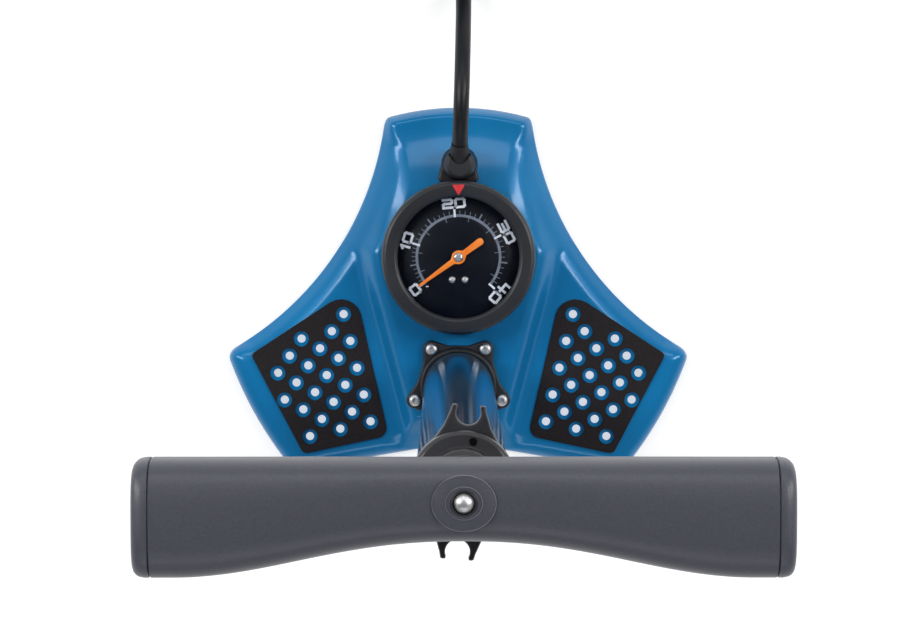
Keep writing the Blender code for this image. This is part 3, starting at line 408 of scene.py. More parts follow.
def hose_points():
    """From the gland up and over the base's edge, round the stacked coil and out to the pump head."""
    points = list(HOSE_RUN)
    steps = round(COIL_TURNS * 24)
    for k in range(steps + 1):
        angle = 2 * math.pi * COIL_TURNS * k / steps
        points.append((COIL_CENTRE[0] + COIL_RADIUS * math.cos(angle),
                       COIL_CENTRE[1] + COIL_RADIUS * math.sin(angle),
                       HOSE_REST + COIL_RISE * COIL_TURNS * k / steps))
    return points + HOSE_TAIL


def smooth_run(points, steps):
    """Points on a smooth curve (Catmull-Rom) through the given points."""
    places = [Vector(p) for p in points]
    places = [2 * places[0] - places[1]] + places + [2 * places[-1] - places[-2]]
    run = [places[1]]
    for a, b, c, d in zip(places, places[1:], places[2:], places[3:]):
        for k in range(1, steps + 1):
            t = k / steps
            run.append(0.5 * ((2 * b) + (c - a) * t + (2 * a - 5 * b + 4 * c - d) * t * t
                              + (3 * b - a - 3 * c + d) * t ** 3))
    return run


def make_hose():
    data = bpy.data.curves.new("hose_line", "CURVE")
    data.dimensions = "3D"
    data.bevel_depth = HOSE_RADIUS * MM
    data.bevel_resolution = 6
    data.use_fill_caps = True
    run = [AXIS + p * MM for p in smooth_run(hose_points(), 3)]
    spline = data.splines.new("POLY")
    spline.points.add(len(run) - 1)
    for spline_point, place in zip(spline.points, run):
        spline_point.co = (*place, 1.0)
    hose = bpy.data.objects.new("hose_line", data)
    bpy.context.scene.collection.objects.link(hose)
    spline.use_smooth = True
    data.materials.append(HOSE_RUBBER)
    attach(hose, BODY)
    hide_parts("hose", "hose_coil", "hose_tail")
    length = sum((b - a).length for a, b in zip(run, run[1:]))
    return hose, length, run[0]


HOSE_LEAN = Vector((0, 9.5, 7.2)).normalized()     # the way the hose leaves the gland


def make_relief():
    """The tapered rubber sleeve around the hose where it leaves the gland."""
    mouth = AXIS + Vector(HOSE_RUN[0]) * MM
    section = [(5.75, -8.4), (5.75, 0.5), (5.6, 1.2), (5.35, 2.0), (5.55, 3.2), (5.2, 4.4), (5.4, 5.6),
               (5.05, 6.8), (5.2, 8.0), (4.8, 9.4), (4.75, 10.6), (4.62, 10.9), (4.62, -8.4)]
    sleeve = lathe("hose_strain_relief", section, steps=48)
    turn = HOSE_LEAN.to_track_quat("Z", "Y").to_matrix().to_4x4()
    sleeve.data.transform(Matrix.Translation(mouth) @ turn)
    keep(sleeve, RUBBER, replaces=("hose_relief",))
    return sleeve


GLAND = (0.6, 129.0)
GLAND_BACK = 120.3                 # the neck is flat here, clear of the gauge's rim


def make_gland():
    """A squat black foot, wide at the gauge, with a round neck that the hose leans out of."""
    foot = [(8.2, 136.8), (-8.2, 136.8), (-12.6, 118.0), (12.6, 118.0)]
    foot_top = 29.5
    gland = slab("hose_gland_body", smooth_corners(foot, (4, 4, 3, 3)), 24.2, foot_top, 1.4, AXIS)
    neck = rounded_section([(0, 47.4, 0), (6.6, 47.4, 0.5), (8.6, 45.6, 1.2), (8.7, 38.0, 0.8),
                            (9.6, 31.0, 2), (10.6, 27.0, 0), (0, 27.0, 0)])

    def add_neck(bm):
        turn_solid(bm, neck, 64, GLAND)
        for vert in bm.verts:
            if vert.co.z > (foot_top + 0.3) * MM:
                vert.co.y = max(vert.co.y, GLAND_BACK * MM)

    cut(gland, add_neck, "UNION")
    mouth = Vector(HOSE_RUN[0])
    cut(gland, lambda bm: cylinder(bm, mouth - HOSE_LEAN * 9.5, mouth + HOSE_LEAN * 22, 5.9, 48, 7.4))
    keep(gland, BLACK, replaces=("hose_gland",), smooth=50)


def smooth_corners(corners, radii, steps=6):
    """Rounds an outline's corners, each to its own radius, in millimetres."""
    points = []
    for i, corner in enumerate(corners):
        here = Vector(corner)
        to_last = (Vector(corners[i - 1]) - here).normalized()
        to_next = (Vector(corners[(i + 1) % len(corners)]) - here).normalized()
        half = to_last.angle(to_next) / 2
        centre = here + (to_last + to_next).normalized() * (radii[i] / math.sin(half))
        first = here + to_last * (radii[i] / math.tan(half)) - centre
        last = here + to_next * (radii[i] / math.tan(half)) - centre
        sweep = first.angle_signed(last)
        for k in range(steps + 1):
            points.append(tuple(centre + Matrix.Rotation(-sweep * k / steps, 2) @ first))
    return points


# ---- base, grip pads and barrel ----

HUB = (0.0, 35.0)                  # the point that the base's mesh rings shrink to
RIM = 4.4                          # height at which the upper surface ends at the edge
WALL = 3.0
BARREL_RADIUS = 20.0
GAUGE_Y = 75.4                     # the gauge stands this far in front of the barrel
BOLT_CIRCLE = 26.6
BOLT_ANGLES = (54, 126, 198, 270, 342)
BOLT_HOLE = 2.3
FEET = {"foot_left": (-115.0, 1.0), "foot_right": (115.0, 1.0), "foot_front": (0.0, 145.0)}
PANEL = 13.0                       # height of the foot panels
SPINE = 24.0                       # height of the spine
PAD_CORNERS = [(-60.8, 57.4), (-41.0, -30.3), (-91.0, -41.0), (-121.5, 17.5)]
PAD_RADII = [12.0, 6.0, 3.5, 2.5]
PAD_HOLE = 4.5
HOLE_START = (-67.3, 41.0)
HOLE_STEP_A = (-6.92, -10.06)      # from one row of holes to the next
HOLE_STEP_B = (10.85, -5.72)       # from one hole to the next in its row
HOLE_ROWS = [(0, 0), (0, 1), (-1, 2), (-1, 3), (-1, 4), (0, 3), (2, 2)]     # first and last in each row


def hole_places(side):
    """The holes of one pad: seven slanting rows on a skew grid; side -1 is left, 1 is right."""
    places = []
    for row, (first, last) in enumerate(HOLE_ROWS):
        for column in range(first, last + 1):
            x = HOLE_START[0] + row * HOLE_STEP_A[0] + column * HOLE_STEP_B[0]
            y = HOLE_START[1] + row * HOLE_STEP_A[1] + column * HOLE_STEP_B[1]
            places.append((-side * x, y))
    return places


def evenly(points, spacing):
    """The same closed outline with evenly spaced points."""
    places = np.array(points + points[:1], dtype=float)
    lengths = np.hypot(*np.diff(places, axis=0).T)
    along = np.concatenate([[0], np.cumsum(lengths)])
    count = max(8, round(along[-1] / spacing))
    marks = np.linspace(0, along[-1], count, endpoint=False)
    return np.column_stack([np.interp(marks, along, places[:, 0]), np.interp(marks, along, places[:, 1])])


def base_outline():
    """Front edge, hollow side, lobe's end and rear edge of the right half, then mirrored."""
    front = arc((0, 10.0), 152.0, 90, 74.6, 12)
    side = []
    for k in range(40):
        y = 150.0 - 128.5 * k / 39
        side.append((222.3 - math.sqrt(180.5 ** 2 - (y - 176.9) ** 2), y))
    end = []
    for k in range(24):
        y = 14.5 - 59.0 * k / 23
        end.append((-73.3 + math.sqrt(221.0 ** 2 - (y - 89.0) ** 2), y))
    rear = [(x, -34.8 - 0.174 * x) for x in (92.0, 60.0, 30.0, 10.0)]
    half = front + bend(front[-1], (42.9, 156.2), side[0]) + side + bend(side[-1], (135.2, 18.6), end[0])
    half += end + bend(end[-1], (97.0, -51.9), rear[0]) + rear + [(0.0, -35.7)]
    mirrored = [(-x, y) for x, y in reversed(half[1:-1])]
    return half + mirrored


def bend(start, corner, end, steps=8):
    """Points of a soft corner between two runs, without its ends."""
    a, c, b = Vector(start), Vector(corner), Vector(end)
    return [tuple(a.lerp(c, k / steps).lerp(c.lerp(b, k / steps), k / steps)) for k in range(1, steps)]


def depth_inside(points, outline):
    """How far each point lies inside the outline, in millimetres."""
    nearest = np.full(len(points), np.inf)
    for start, end in zip(outline, np.roll(outline, -1, axis=0)):
        run = end - start
        t = np.clip(((points - start) @ run) / (run @ run), 0, 1)
        nearest = np.minimum(nearest, np.hypot(*(points - start - t[:, None] * run).T))
    return nearest


def soft_min(a, b, size):
    """The lower of two heights, with the crease between them rounded over about size."""
    h = np.clip(0.5 + 0.5 * (b - a) / size, 0, 1)
    return b * (1 - h) + a * h - size * h * (1 - h)


def soft_max(a, b, size):
    return -soft_min(-a, -b, size)


def ease(x, low, high):
    t = np.clip((x - low) / (high - low), 0, 1)
    return t * t * (3 - 2 * t)


def spine_half_width(y):
    """The spine's half width: narrow at the barrel, widest beside the gauge, narrowing to the front."""
    taper = 30.4 + 0.264 * y
    front = 50.0 - 0.0042 * np.maximum(y - 82.0, 0) ** 2
    return soft_min(taper, front, 5.0)


def base_height(points, outline):
    """Height of the base's upper surface: foot panels, the raised spine and the falling edges."""
    x, y = np.abs(points[:, 0]), points[:, 1]
    depth = depth_inside(points, outline)
    # the edge falls steeply in the hollows and is rounded over at the lobes' ends
    steep = RIM + (1.0 + 1.3 * ease(y - 0.3 * x, 128.0, 142.0)) * depth
    lobe_end = RIM + 8.8 * np.sqrt(np.clip(1 - (1 - np.clip(depth / 12.0, 0, 1)) ** 2, 0, 1))
    hollow = ease(y - 0.62 * (x - 130.0), 18.0, 30.0)
    panel = soft_min(np.full_like(x, PANEL), lobe_end * (1 - hollow) + steep * hollow, 1.2 + 3.6 * hollow)
    # the spine's crest, sides and rear; the nose in front of the gauge is broader and falls away
    nose = ease(y, 76.0, 108.0)
    crest = SPINE - 0.0046 * np.maximum(y - 98.0, 0) ** 2 - nose * 0.0015 * x ** 2
    side = SPINE + 0.4 - (x - spine_half_width(y)) * 1.25 + 22.0 * nose
    rear = SPINE + (y + 33.0) * 3.0
    shoulder = 4.2 + 5.0 * nose
    spine = soft_min(soft_min(crest, side, shoulder), soft_min(rear, steep, 2.0), 1.6 + 4.4 * nose)
    return np.maximum(soft_max(panel, spine, 3.2), RIM * (depth > 0))


def make_base():
    """A thin shell: an upper skin, a lower skin and a lip that joins them, with bosses and holes."""
    outline = evenly(base_outline(), 2.0)
    hub = np.array(HUB)

    def ring(factor, height=None, drop=0.0):
        points = hub + factor * (outline - hub)
        if height is None:
            return np.column_stack([points, base_height(points, outline) - drop])
        return np.column_stack([points, np.full(len(points), height)])

    upper = [1.0] + list(np.arange(0.9925, 0.9, -0.0075)) + list(np.arange(0.895, 0.02, -0.0135))
    lower = [0.962] + list(np.arange(0.945, 0.03, -0.045))
    rings = [ring(factor, drop=WALL) for factor in reversed(lower)]
    rings += [ring(f, z) for f, z in ((0.97, 3.2), (0.973, 2.4), (0.99, 2.2), (0.998, 2.5), (1.0, 3.2))]
    rings += [ring(1.0, RIM)] + [ring(factor) for factor in upper[1:]]
    base = loft("base_casting", [[tuple(v * MM) for v in points] for points in rings], AXIS)

    def add_bosses(bm):
        for place in FEET.values():
            post(bm, place, 4.3, 11.5, 8, 32)

    hole = [(0, 14.0), (4.9, 14.0), (4.1, 13.05), (3.7, 12.6), (2.8, 11.6), (2.4, 11.0), (2.4, 6.0),
            (0, 6.0)]

    def add_holes(bm):
        for side in (-1, 1):
            for place in hole_places(side):
                turn_solid(bm, hole, 24, place)

    def add_spine_holes(bm):
        post(bm, (0, 0), 15, 30, BARREL_RADIUS + 0.3, 96)
        post(bm, (0, GAUGE_Y), 15, 30, 6.3, 32)
        post(bm, GLAND, 12, 30, 6.3, 32)
        for place in bolt_places():
            post(bm, place, 15, 30, BOLT_HOLE, 16)

    cut(base, add_bosses, "UNION")
    cut(base, add_holes)
    cut(base, add_spine_holes)
    keep(base, PAINT, replaces=("base_shell",), smooth=32)


def make_grip_pads():
    for side, word in ((-1, "left"), (1, "right")):
        outline = smooth_corners([(-side * x, y) for x, y in PAD_CORNERS], PAD_RADII)
        pad = slab(f"grip_tape_{word}", outline, PANEL + 0.15, PANEL + 1.1, 0.25, AXIS)
        cut(pad, lambda bm: [post(bm, place, 12, 15, PAD_HOLE, 28) for place in hole_places(side)])
        keep(pad, TAPE, replaces=(f"grip_pad_{word}",), smooth=30)


def bolt_places():
    return [(BOLT_CIRCLE * math.cos(math.radians(a)), BOLT_CIRCLE * math.sin(math.radians(a)))
            for a in BOLT_ANGLES]


def make_flange():
    """A five-cornered black bracket: round bosses joined by hollow sides, and a low collar."""
    outline = []
    for angle, place in zip(BOLT_ANGLES, bolt_places()):
        outline += arc(place, 4.9, angle - 62, angle + 62, 10)
        for step in range(1, 8):
            across = math.radians(angle + 16 + 5 * step)
            reach = 23.5 / math.cos(across - math.radians(angle + 36))
            outline.append((reach * math.cos(across), reach * math.sin(across)))
    flange = slab("flange_bracket", outline, 24.25, 29.0, 0.8, AXIS)
    collar = rounded_section([(0, 34.0, 0), (22.2, 34.0, 1.0), (22.6, 29.0, 1.4), (23.0, 27.0, 0),
                              (0, 27.0, 0)])
    cut(flange, lambda bm: turn_solid(bm, collar), "UNION")
    cut(flange, lambda bm: post(bm, (0, 0), 20, 40, BARREL_RADIUS + 0.25, 96))
    cut(flange, lambda bm: [post(bm, place, 20, 40, BOLT_HOLE, 20) for place in bolt_places()])
    keep(flange, BLACK, replaces=("barrel_flange",), smooth=38)
    head = rounded_section([(0, 32.2, 0), (1.9, 32.2, 0.4), (3.1, 31.6, 0.5), (3.5, 30.4, 0.3),
                            (3.5, 29.3, 0.1), (2.0, 29.3, 0), (2.0, 17.0, 0), (0, 17.0, 0)])
    for number, (x, y) in enumerate(bolt_places(), 1):
        screw = lathe(f"bolt_{number}", head, AXIS + Vector((x, y, 0)) * MM, 40)
        cut(screw, lambda bm: post(bm, (0, 0), 30.9, 34, 1.45, 6))
        keep(screw, SATIN_STEEL, replaces=(f"flange_screw_{number}",), smooth=35)


def make_barrel():
    """A thin tube with its outer edges broken."""
    bore, edge, low, high = BARREL_RADIUS - 1.5, BARREL_RADIUS - 0.4, 14.3, 572.0
    section = [(bore, high), (edge, high), (BARREL_RADIUS, high - 0.5), (BARREL_RADIUS, low + 0.4),
               (edge, low), (bore, low)]
    barrel = lathe("barrel_tube", section, AXIS, 128)
    keep(barrel, METAL_BLUE, replaces=("barrel",), smooth=30)


# ---- gauge ----

DIAL_TOP = 41.1

def make_gauge_case():
    section = rounded_section([(0, 44.0, 0), (41.0, 44.0, 0.5), (41.0, 26.0, 1.5), (38.5, 24.25, 0.5),
                               (0, 24.25, 0)])
    case = lathe("gauge_housing", section, GAUGE, 128)
    cut(case, lambda bm: post(bm, (0, 0), 26.5, 46, 38.8, 128))
    cut(case, lambda bm: post(bm, (0, 0), 20, 30, 5.4, 32))
    keep(case, BLACK, replaces=("gauge_case",))


def make_bezel():
    """The turning rim: a broad flat ring, bevelled inside, with a row of shallow grips around it."""
    section = rounded_section([(35.0, 48.9, 0.5), (36.6, 50.0, 0.5), (43.1, 50.0, 1.6), (44.3, 47.6, 0.6),
                               (44.3, 31.0, 0.8), (43.2, 30.0, 0.3), (41.4, 30.0, 0.2), (41.4, 46.5, 0),
                               (35.0, 46.5, 0)])
    ring = lathe("gauge_rim", section, GAUGE, 180)

    def add_grips(bm):
        for k in range(60):
            angle = math.radians(6 * k + 3)
            post(bm, (45.0 * math.cos(angle), 45.0 * math.sin(angle)), 32, 46.4, 1.25, 12)

    cut(ring, add_grips)
    keep(ring, BEZEL_BLACK, body="bezel", replaces=("gauge_bezel",), smooth=32)
    marker = slab("rim_pointer", smooth_corners([(-3.8, 42.0), (3.8, 42.0), (0, 35.7)], (0.5, 0.5, 0.3)),
                  49.8, 50.5, 0.15, GAUGE)
    keep(marker, RED, body="bezel", replaces=("bezel_marker",), smooth=30)


def make_lens():
    section = [(0, 46.1), (30.0, 46.05), (40.9, 45.95), (41.0, 45.8), (41.0, 44.4), (40.9, 44.3), (0, 44.3)]
    lens = lathe("gauge_lens", section, GAUGE, 96)
    keep(lens, GLASS, replaces=("gauge_lens",))


def polar(radius, clockwise):
    """A place on the dial, from its radius and the angle clockwise from the top."""
    angle = math.radians(90 - clockwise)
    return radius * math.cos(angle), radius * math.sin(angle)


def sector_outline(r_in, r_out, start, end):
    """A curved band on the dial, between two radii and two angles."""
    steps = max(2, round(abs(end - start) / 3))
    outer = [polar(r_out, start + (end - start) * k / steps) for k in range(steps + 1)]
    inner = [polar(r_in, end + (start - end) * k / steps) for k in range(steps + 1)]
    return outer + inner


# each figure's strokes, as a share of its height
FIGURE_STROKES = {
    "0": [[(0, 0.15), (0, 0.85), (0.15, 1), (0.95, 1), (1.1, 0.85), (1.1, 0.15), (0.95, 0), (0.15, 0),
           (0, 0.15)]],
    "1": [[(0.1, 0.8), (0.4, 1), (0.4, 0)]],
    "2": [[(0, 1), (0.95, 1), (1.1, 0.85), (1.1, 0.62), (0.95, 0.5), (0.15, 0.5), (0, 0.38), (0, 0),
           (1.1, 0)]],
    "3": [[(0, 1), (0.95, 1), (1.1, 0.85), (1.1, 0.15), (0.95, 0), (0, 0)], [(0.2, 0.5), (1.1, 0.5)]],
    "4": [[(0, 1), (0, 0.42), (1.1, 0.42)], [(0.85, 1), (0.85, 0)]],
}
DIAL_ANGLES = [-127.0, -73.0, -5.0, 62.5, 131.0]     # clockwise from the top, at 0, 10, 20, 30 and 40
FIGURE_WIDTHS = {"0": 1.1, "1": 0.5, "2": 1.1, "3": 1.1, "4": 1.1}


def bar(start, end, half_width):
    """A flat bar outline between two points, run on by its half width at both ends."""
    a, b = Vector(start), Vector(end)
    run = (b - a).normalized()
    side = Vector((-run.y, run.x)) * half_width
    a, b = a - run * half_width, b + run * half_width
    return [tuple(a - side), tuple(b - side), tuple(b + side), tuple(a + side)]


def plates(name, outlines, low, high, place):
    """Many thin flat outlines in one piece, at slightly unlike heights where they cross."""
    verts, faces = [], []
    for number, outline in enumerate(outlines):
        top = high + 0.004 * (number % 7)
        area = sum(a[0] * b[1] - b[0] * a[1] for a, b in zip(outline, outline[1:] + outline[:1]))
        if area < 0:
            outline = outline[::-1]
        base, count = len(verts), len(outline)
        verts += [(x * MM, y * MM, low * MM) for x, y in outline]
        verts += [(x * MM, y * MM, top * MM) for x, y in outline]
        faces.append([base + k for k in reversed(range(count))])
        faces.append([base + count + k for k in range(count)])
        for k in range(count):
            j = (k + 1) % count
            faces.append([base + k, base + j, base + count + j, base + count + k])
    return mesh_object(name, verts, faces, place)


def make_dial():
    """The black plate, its printed scale and figures, two rivets and the stop pin at zero."""
    dial = lathe("dial_plate", [(3.6, DIAL_TOP), (38.2, DIAL_TOP), (38.5, 40.9), (38.5, 40.5), (38.2, 40.3),
                                (3.6, 40.3)], GAUGE, 96)
    keep(dial, DIAL_BLACK, replaces=("gauge_dial",))
    marks = [sector_outline(23.3, 24.8, DIAL_ANGLES[0], DIAL_ANGLES[-1])]
    for first, last in zip(DIAL_ANGLES, DIAL_ANGLES[1:]):
        for k in range(1, 10):
            angle = first + (last - first) * k / 10
            reach, half_width = (27.9, 0.4) if k == 5 else (26.7, 0.18)
            marks.append(bar(polar(24.5, angle), polar(reach, angle), half_width))
            if k in (3, 8):
                marks.append(bar(polar(21.2, angle), polar(23.4, angle), 0.2))
    keep(plates("dial_scale", marks, DIAL_TOP, 41.16, GAUGE), DIAL_PRINT, smooth=20)
    figures = [bar(polar(23.8, angle), polar(27.2, angle), 0.6) for angle in DIAL_ANGLES]
    size, space = 4.6, 0.46
    for text, clockwise in zip(("0", "10", "20", "30", "40"), DIAL_ANGLES):
        start = -(sum(FIGURE_WIDTHS[d] for d in text) + space * (len(text) - 1)) / 2
        centre, turn = Vector(polar(31.2, clockwise)), Matrix.Rotation(math.radians(-clockwise), 2)
        for digit in text:
            for line in FIGURE_STROKES[digit]:
                points = [centre + turn @ Vector(((start + x) * size, (y - 0.5) * size)) for x, y in line]
                figures += [bar(a, b, 0.72) for a, b in zip(points, points[1:])]
            start += FIGURE_WIDTHS[digit] + space
    keep(plates("dial_figures", figures, DIAL_TOP, 41.17, GAUGE), DIAL_FIGURES, smooth=20)
    seat = DIAL_TOP + 0.02
    rivet = rounded_section([(0, 42.1, 0), (1.2, 42.0, 0.4), (2.0, 41.3, 0.2), (2.0, seat, 0),
                             (0, seat, 0)])
    for number, x in ((1, -3.7), (2, 3.7)):
        screw = lathe(f"dial_rivet_{number}", rivet, GAUGE + Vector((x, -13.0, 0)) * MM, 32)
        keep(screw, SATIN_STEEL, replaces=(f"dial_screw_{number}",))
    pin = rounded_section([(0, 43.7, 0), (0.8, 43.7, 0.25), (0.8, seat, 0), (0, seat, 0)])
    stop = lathe("zero_stop", pin, GAUGE + Vector((-18.0, -17.0, 0)) * MM, 20)
    keep(stop, STEEL, replaces=("needle_stop",))


def make_needle():
    """The pointer lies at zero: a slim orange blade, broad at its tail, on a bright centre cap."""
    side = [(-17.3, 0.9), (-16.6, 1.7), (-15.4, 2.1), (-8.0, 1.75), (-4.2, 1.7), (-3.2, 2.6), (-1.6, 3.7),
            (0, 4.0), (1.6, 3.7), (3.2, 2.4), (4.4, 1.6), (27.0, 0.75), (29.0, 0.15)]
    turn = Matrix.Rotation(math.radians(90 + 126), 2)
    outline = [tuple(turn @ Vector(point)) for point in side + [(a, -h) for a, h in reversed(side)]]
    needle = slab("pointer_blade", outline, 42.35, 42.9, 0.12, GAUGE, 2)
    keep(needle, ORANGE, body="needle", replaces=("gauge_needle",), smooth=30)
    dome = rounded_section([(0, 44.0, 0), (2.0, 43.95, 0.5), (2.8, 43.2, 0.3), (2.8, 42.92, 0),
                            (0, 42.92, 0)])
    cap = lathe("pointer_cap", dome, GAUGE, 40)
    keep(cap, ALUMINIUM, body="needle")


# ---- barrel top, rod and handle ----

CAP_PLACE = Matrix.Translation(AXIS) @ Matrix.Rotation(math.radians(-4.5), 4, "Z")
FORK_SIDE = [(21.9, 0.0), (21.6, 3.0), (19.7, 8.9), (17.3, 12.0), (13.6, 17.3), (9.9, 23.2), (7.6, 29.5),
             (7.0, 32.0), (6.2, 32.4), (5.0, 32.3), (4.7, 31.4)]


def make_top_cap():
    """A forked plate under a low disc with a domed middle, bored for the rod."""
    front = FORK_SIDE + arc((0, 29.2), 5.2, 10, -190, 22) + [(-x, y) for x, y in reversed(FORK_SIDE)]
    outline = front + [(-x, -y) for x, y in front[1:-1]]
    cap = slab("cap_fork", outline, 572.3, 577.5, 0.9)
    section = rounded_section([(0, 590.0, 0), (12.5, 590.0, 0.8), (15.0, 587.2, 1.6), (15.3, 583.6, 0.4),
                               (20.6, 583.0, 0.4), (22.0, 581.4, 0.8), (22.0, 573.5, 0), (0, 573.5, 0)])
    cut(cap, lambda bm: turn_solid(bm, section), "UNION")
    cut(cap, lambda bm: post(bm, (0, 0), 560, 600, 8.3, 64))
    cut(cap, lambda bm: post(bm, polar(18.0, 9.0), 579, 600, 1.75, 24))       # the vent
    cap.matrix_world = CAP_PLACE
    keep(cap, CAP_GREY, replaces=("top_cap",), smooth=30)


def make_rod_parts():
    """The polished rod, with the ribbed rubber stop under the handle."""
    shaft = rounded_section([(0, 645.0, 0), (6.0, 645.0, 0.6), (6.0, 38.0, 0.6), (0, 38.0, 0)])
    rod = lathe("piston_shaft", shaft, AXIS, 64)
    keep(rod, ROD_STEEL, body=HANDLE, replaces=("piston_rod",))
    ribs = [(6.3, 590.3), (10.2, 590.3), (11.0, 591.4)]
    for k in range(4):
        z = 593.5 + 5.4 * k
        ribs += [(11.0, z), (10.2, z + 1.4), (10.2, z + 2.6), (11.0, z + 4.0)]
    ribs += [(11.0, 614.6), (9.8, 616.0), (6.3, 616.0)]
    bumper = lathe("rod_stop_rubber", ribs, AXIS, 64)
    keep(bumper, RUBBER, body=HANDLE, replaces=("rod_bumper",), smooth=50)


HANDLE_FRONT = 16.1
HANDLE_REAR = -16.6                # at the middle
HANDLE_SWELL = 14.6                # how much further back the rear edge lies near the ends
HANDLE_TOP, HANDLE_BOTTOM = 657.0, 617.0
HANDLE_CORNERS = 0.62              # 1 gives an oval section, 0 a rectangle


def handle_ring(x, shrink=0.0, steps=72):
    """One rounded cross-section of the handle, at x; the rear edge swells out towards both ends."""
    reach = min(1.0, abs(x) / 115.0) ** 1.15
    rear = HANDLE_REAR - HANDLE_SWELL * (0.5 - 0.5 * math.cos(math.pi * reach)) + shrink
    front = HANDLE_FRONT - shrink
    arch = 1.5 * max(0.0, 1 - (abs(x) / 60.0) ** 2)
    top, bottom = HANDLE_TOP - shrink, HANDLE_BOTTOM + shrink + arch
    mid_y, mid_z = (rear + front) / 2, (top + bottom) / 2
    ring = []
    for k in range(steps):
        c, s = math.cos(2 * math.pi * k / steps), math.sin(2 * math.pi * k / steps)
        ring.append((x, mid_y + (front - rear) / 2 * math.copysign(abs(c) ** HANDLE_CORNERS, c),
                     mid_z + (top - bottom) / 2 * math.copysign(abs(s) ** HANDLE_CORNERS, s)))
    return [tuple(v * MM for v in point) for point in ring]


def make_handle():
    """A hollow grip with a solid middle that holds the rod, and a plug with a rounded rim in each end."""
    stations = [(-124.0, 0.35), (-123.6, 0.0)] + [(-122.0 + 244.0 * k / 88, 0.0) for k in range(89)]
    stations += [(123.6, 0.0), (124.0, 0.35)]
    handle = loft("handle_grip", [handle_ring(x, shrink) for x, shrink in stations], AXIS)
    cut(handle, lambda bm: post(bm, (0, 0), 600, 645.3, 6.3, 48))
    cut(handle, lambda bm: post(bm, (0, 0), 645, 670, 4.6, 40))

    for side in (-1, 1):
        hollow = [handle_ring(side * x, 3.0) for x in (24.0, 60.0, 95.0, 121.0, 126.0)]
        cut(handle, lambda bm: skin(bm, hollow))
    keep(handle, HANDLE_GREY, body=HANDLE, replaces=("handle_body",), smooth=35)
    stations = [(124.3, 0.4), (124.7, 0.0), (126.2, 0.0), (128.2, 0.35), (129.5, 1.0), (130.4, 2.0),
                (130.9, 3.4), (131.0, 5.5)]
    for side, word in ((-1, "left"), (1, "right")):
        plug = loft(f"handle_plug_{word}", [handle_ring(side * x, shrink) for x, shrink in stations], AXIS)
        keep(plug, HANDLE_GREY, body=HANDLE, replaces=(f"handle_end_cap_{word}",),
             smooth=35)


def oval_ring(name, outer, inner, low, high):
    """A flat ring between two ovals on the handle, its upper edges rounded; semi-axes in millimetres."""
    count = 72
    verts = []
    for (rx, ry), inset, z in ((inner, 0, low), (outer, 0, low), (outer, 0, high - 0.25),
                               (outer, -0.12, high - 0.08), (outer, -0.35, high), (inner, 0.3, high),
                               (inner, 0, high - 0.25)):
        for k in range(count):
            angle = 2 * math.pi * k / count
            verts.append(((rx + inset) * MM * math.cos(angle), (ry + inset) * MM * math.sin(angle), z * MM))
    loops = len(verts) // count
    faces = [[i * count + k, i * count + (k + 1) % count, (i + 1) % loops * count + (k + 1) % count,
              (i + 1) % loops * count + k] for i in range(loops) for k in range(count)]
    return mesh_object(name, verts, faces, AXIS)


def make_handle_inlay():
    """A thin oval plate set on the grip, with a raised inner rim around the domed bolt."""
    for name, outer, inner, low, high, mat, nodes in (
            ("handle_inlay", (12.5, 10.9), (4.6, 4.6), 656.9, 657.6, HANDLE_GREY, ("handle_badge",)),
            ("handle_inlay_edge", (12.8, 11.2), (12.4, 10.8), 656.9, 657.75, EDGE_GREY, ()),
            ("handle_inlay_rim", (7.5, 6.7), (7.15, 6.35), 657.5, 657.95, EDGE_GREY, ()),
            # the seat ring around the bolt is a raised ring in near-black plastic, painted shade standing
            # in for the shadow of the recess round the bolt
            ("handle_inlay_painted_shade_ring", (5.6, 5.4), (4.5, 4.5), 657.5, 657.8, CAP_GREY, ())):
        ring = oval_ring(name, outer, inner, low, high)
        keep(ring, mat, body=HANDLE, replaces=nodes, smooth=35)
    nut = rounded_section([(0, 660.0, 0), (1.6, 659.8, 0.6), (3.2, 658.9, 0.8), (4.05, 657.2, 0.4),
                           (4.05, 645.3, 0.2), (0, 645.3, 0)])
    bolt = lathe("handle_dome_nut", nut, AXIS, 48)
    keep(bolt, SATIN_STEEL, body=HANDLE, replaces=("handle_bolt",))


# ---- pump head and feet ----

HEAD = AXIS + Vector((56.0, 246.5, 10.4)) * MM
SOCKET_X = 46.0                    # from the hose end of the head to its valve socket
LEVER_PIN = (SOCKET_X, -6.5)
TO_SOCKET = Matrix.Translation((SOCKET_X * MM, 0, 0)) @ Matrix.Rotation(math.radians(-90), 4, "X")


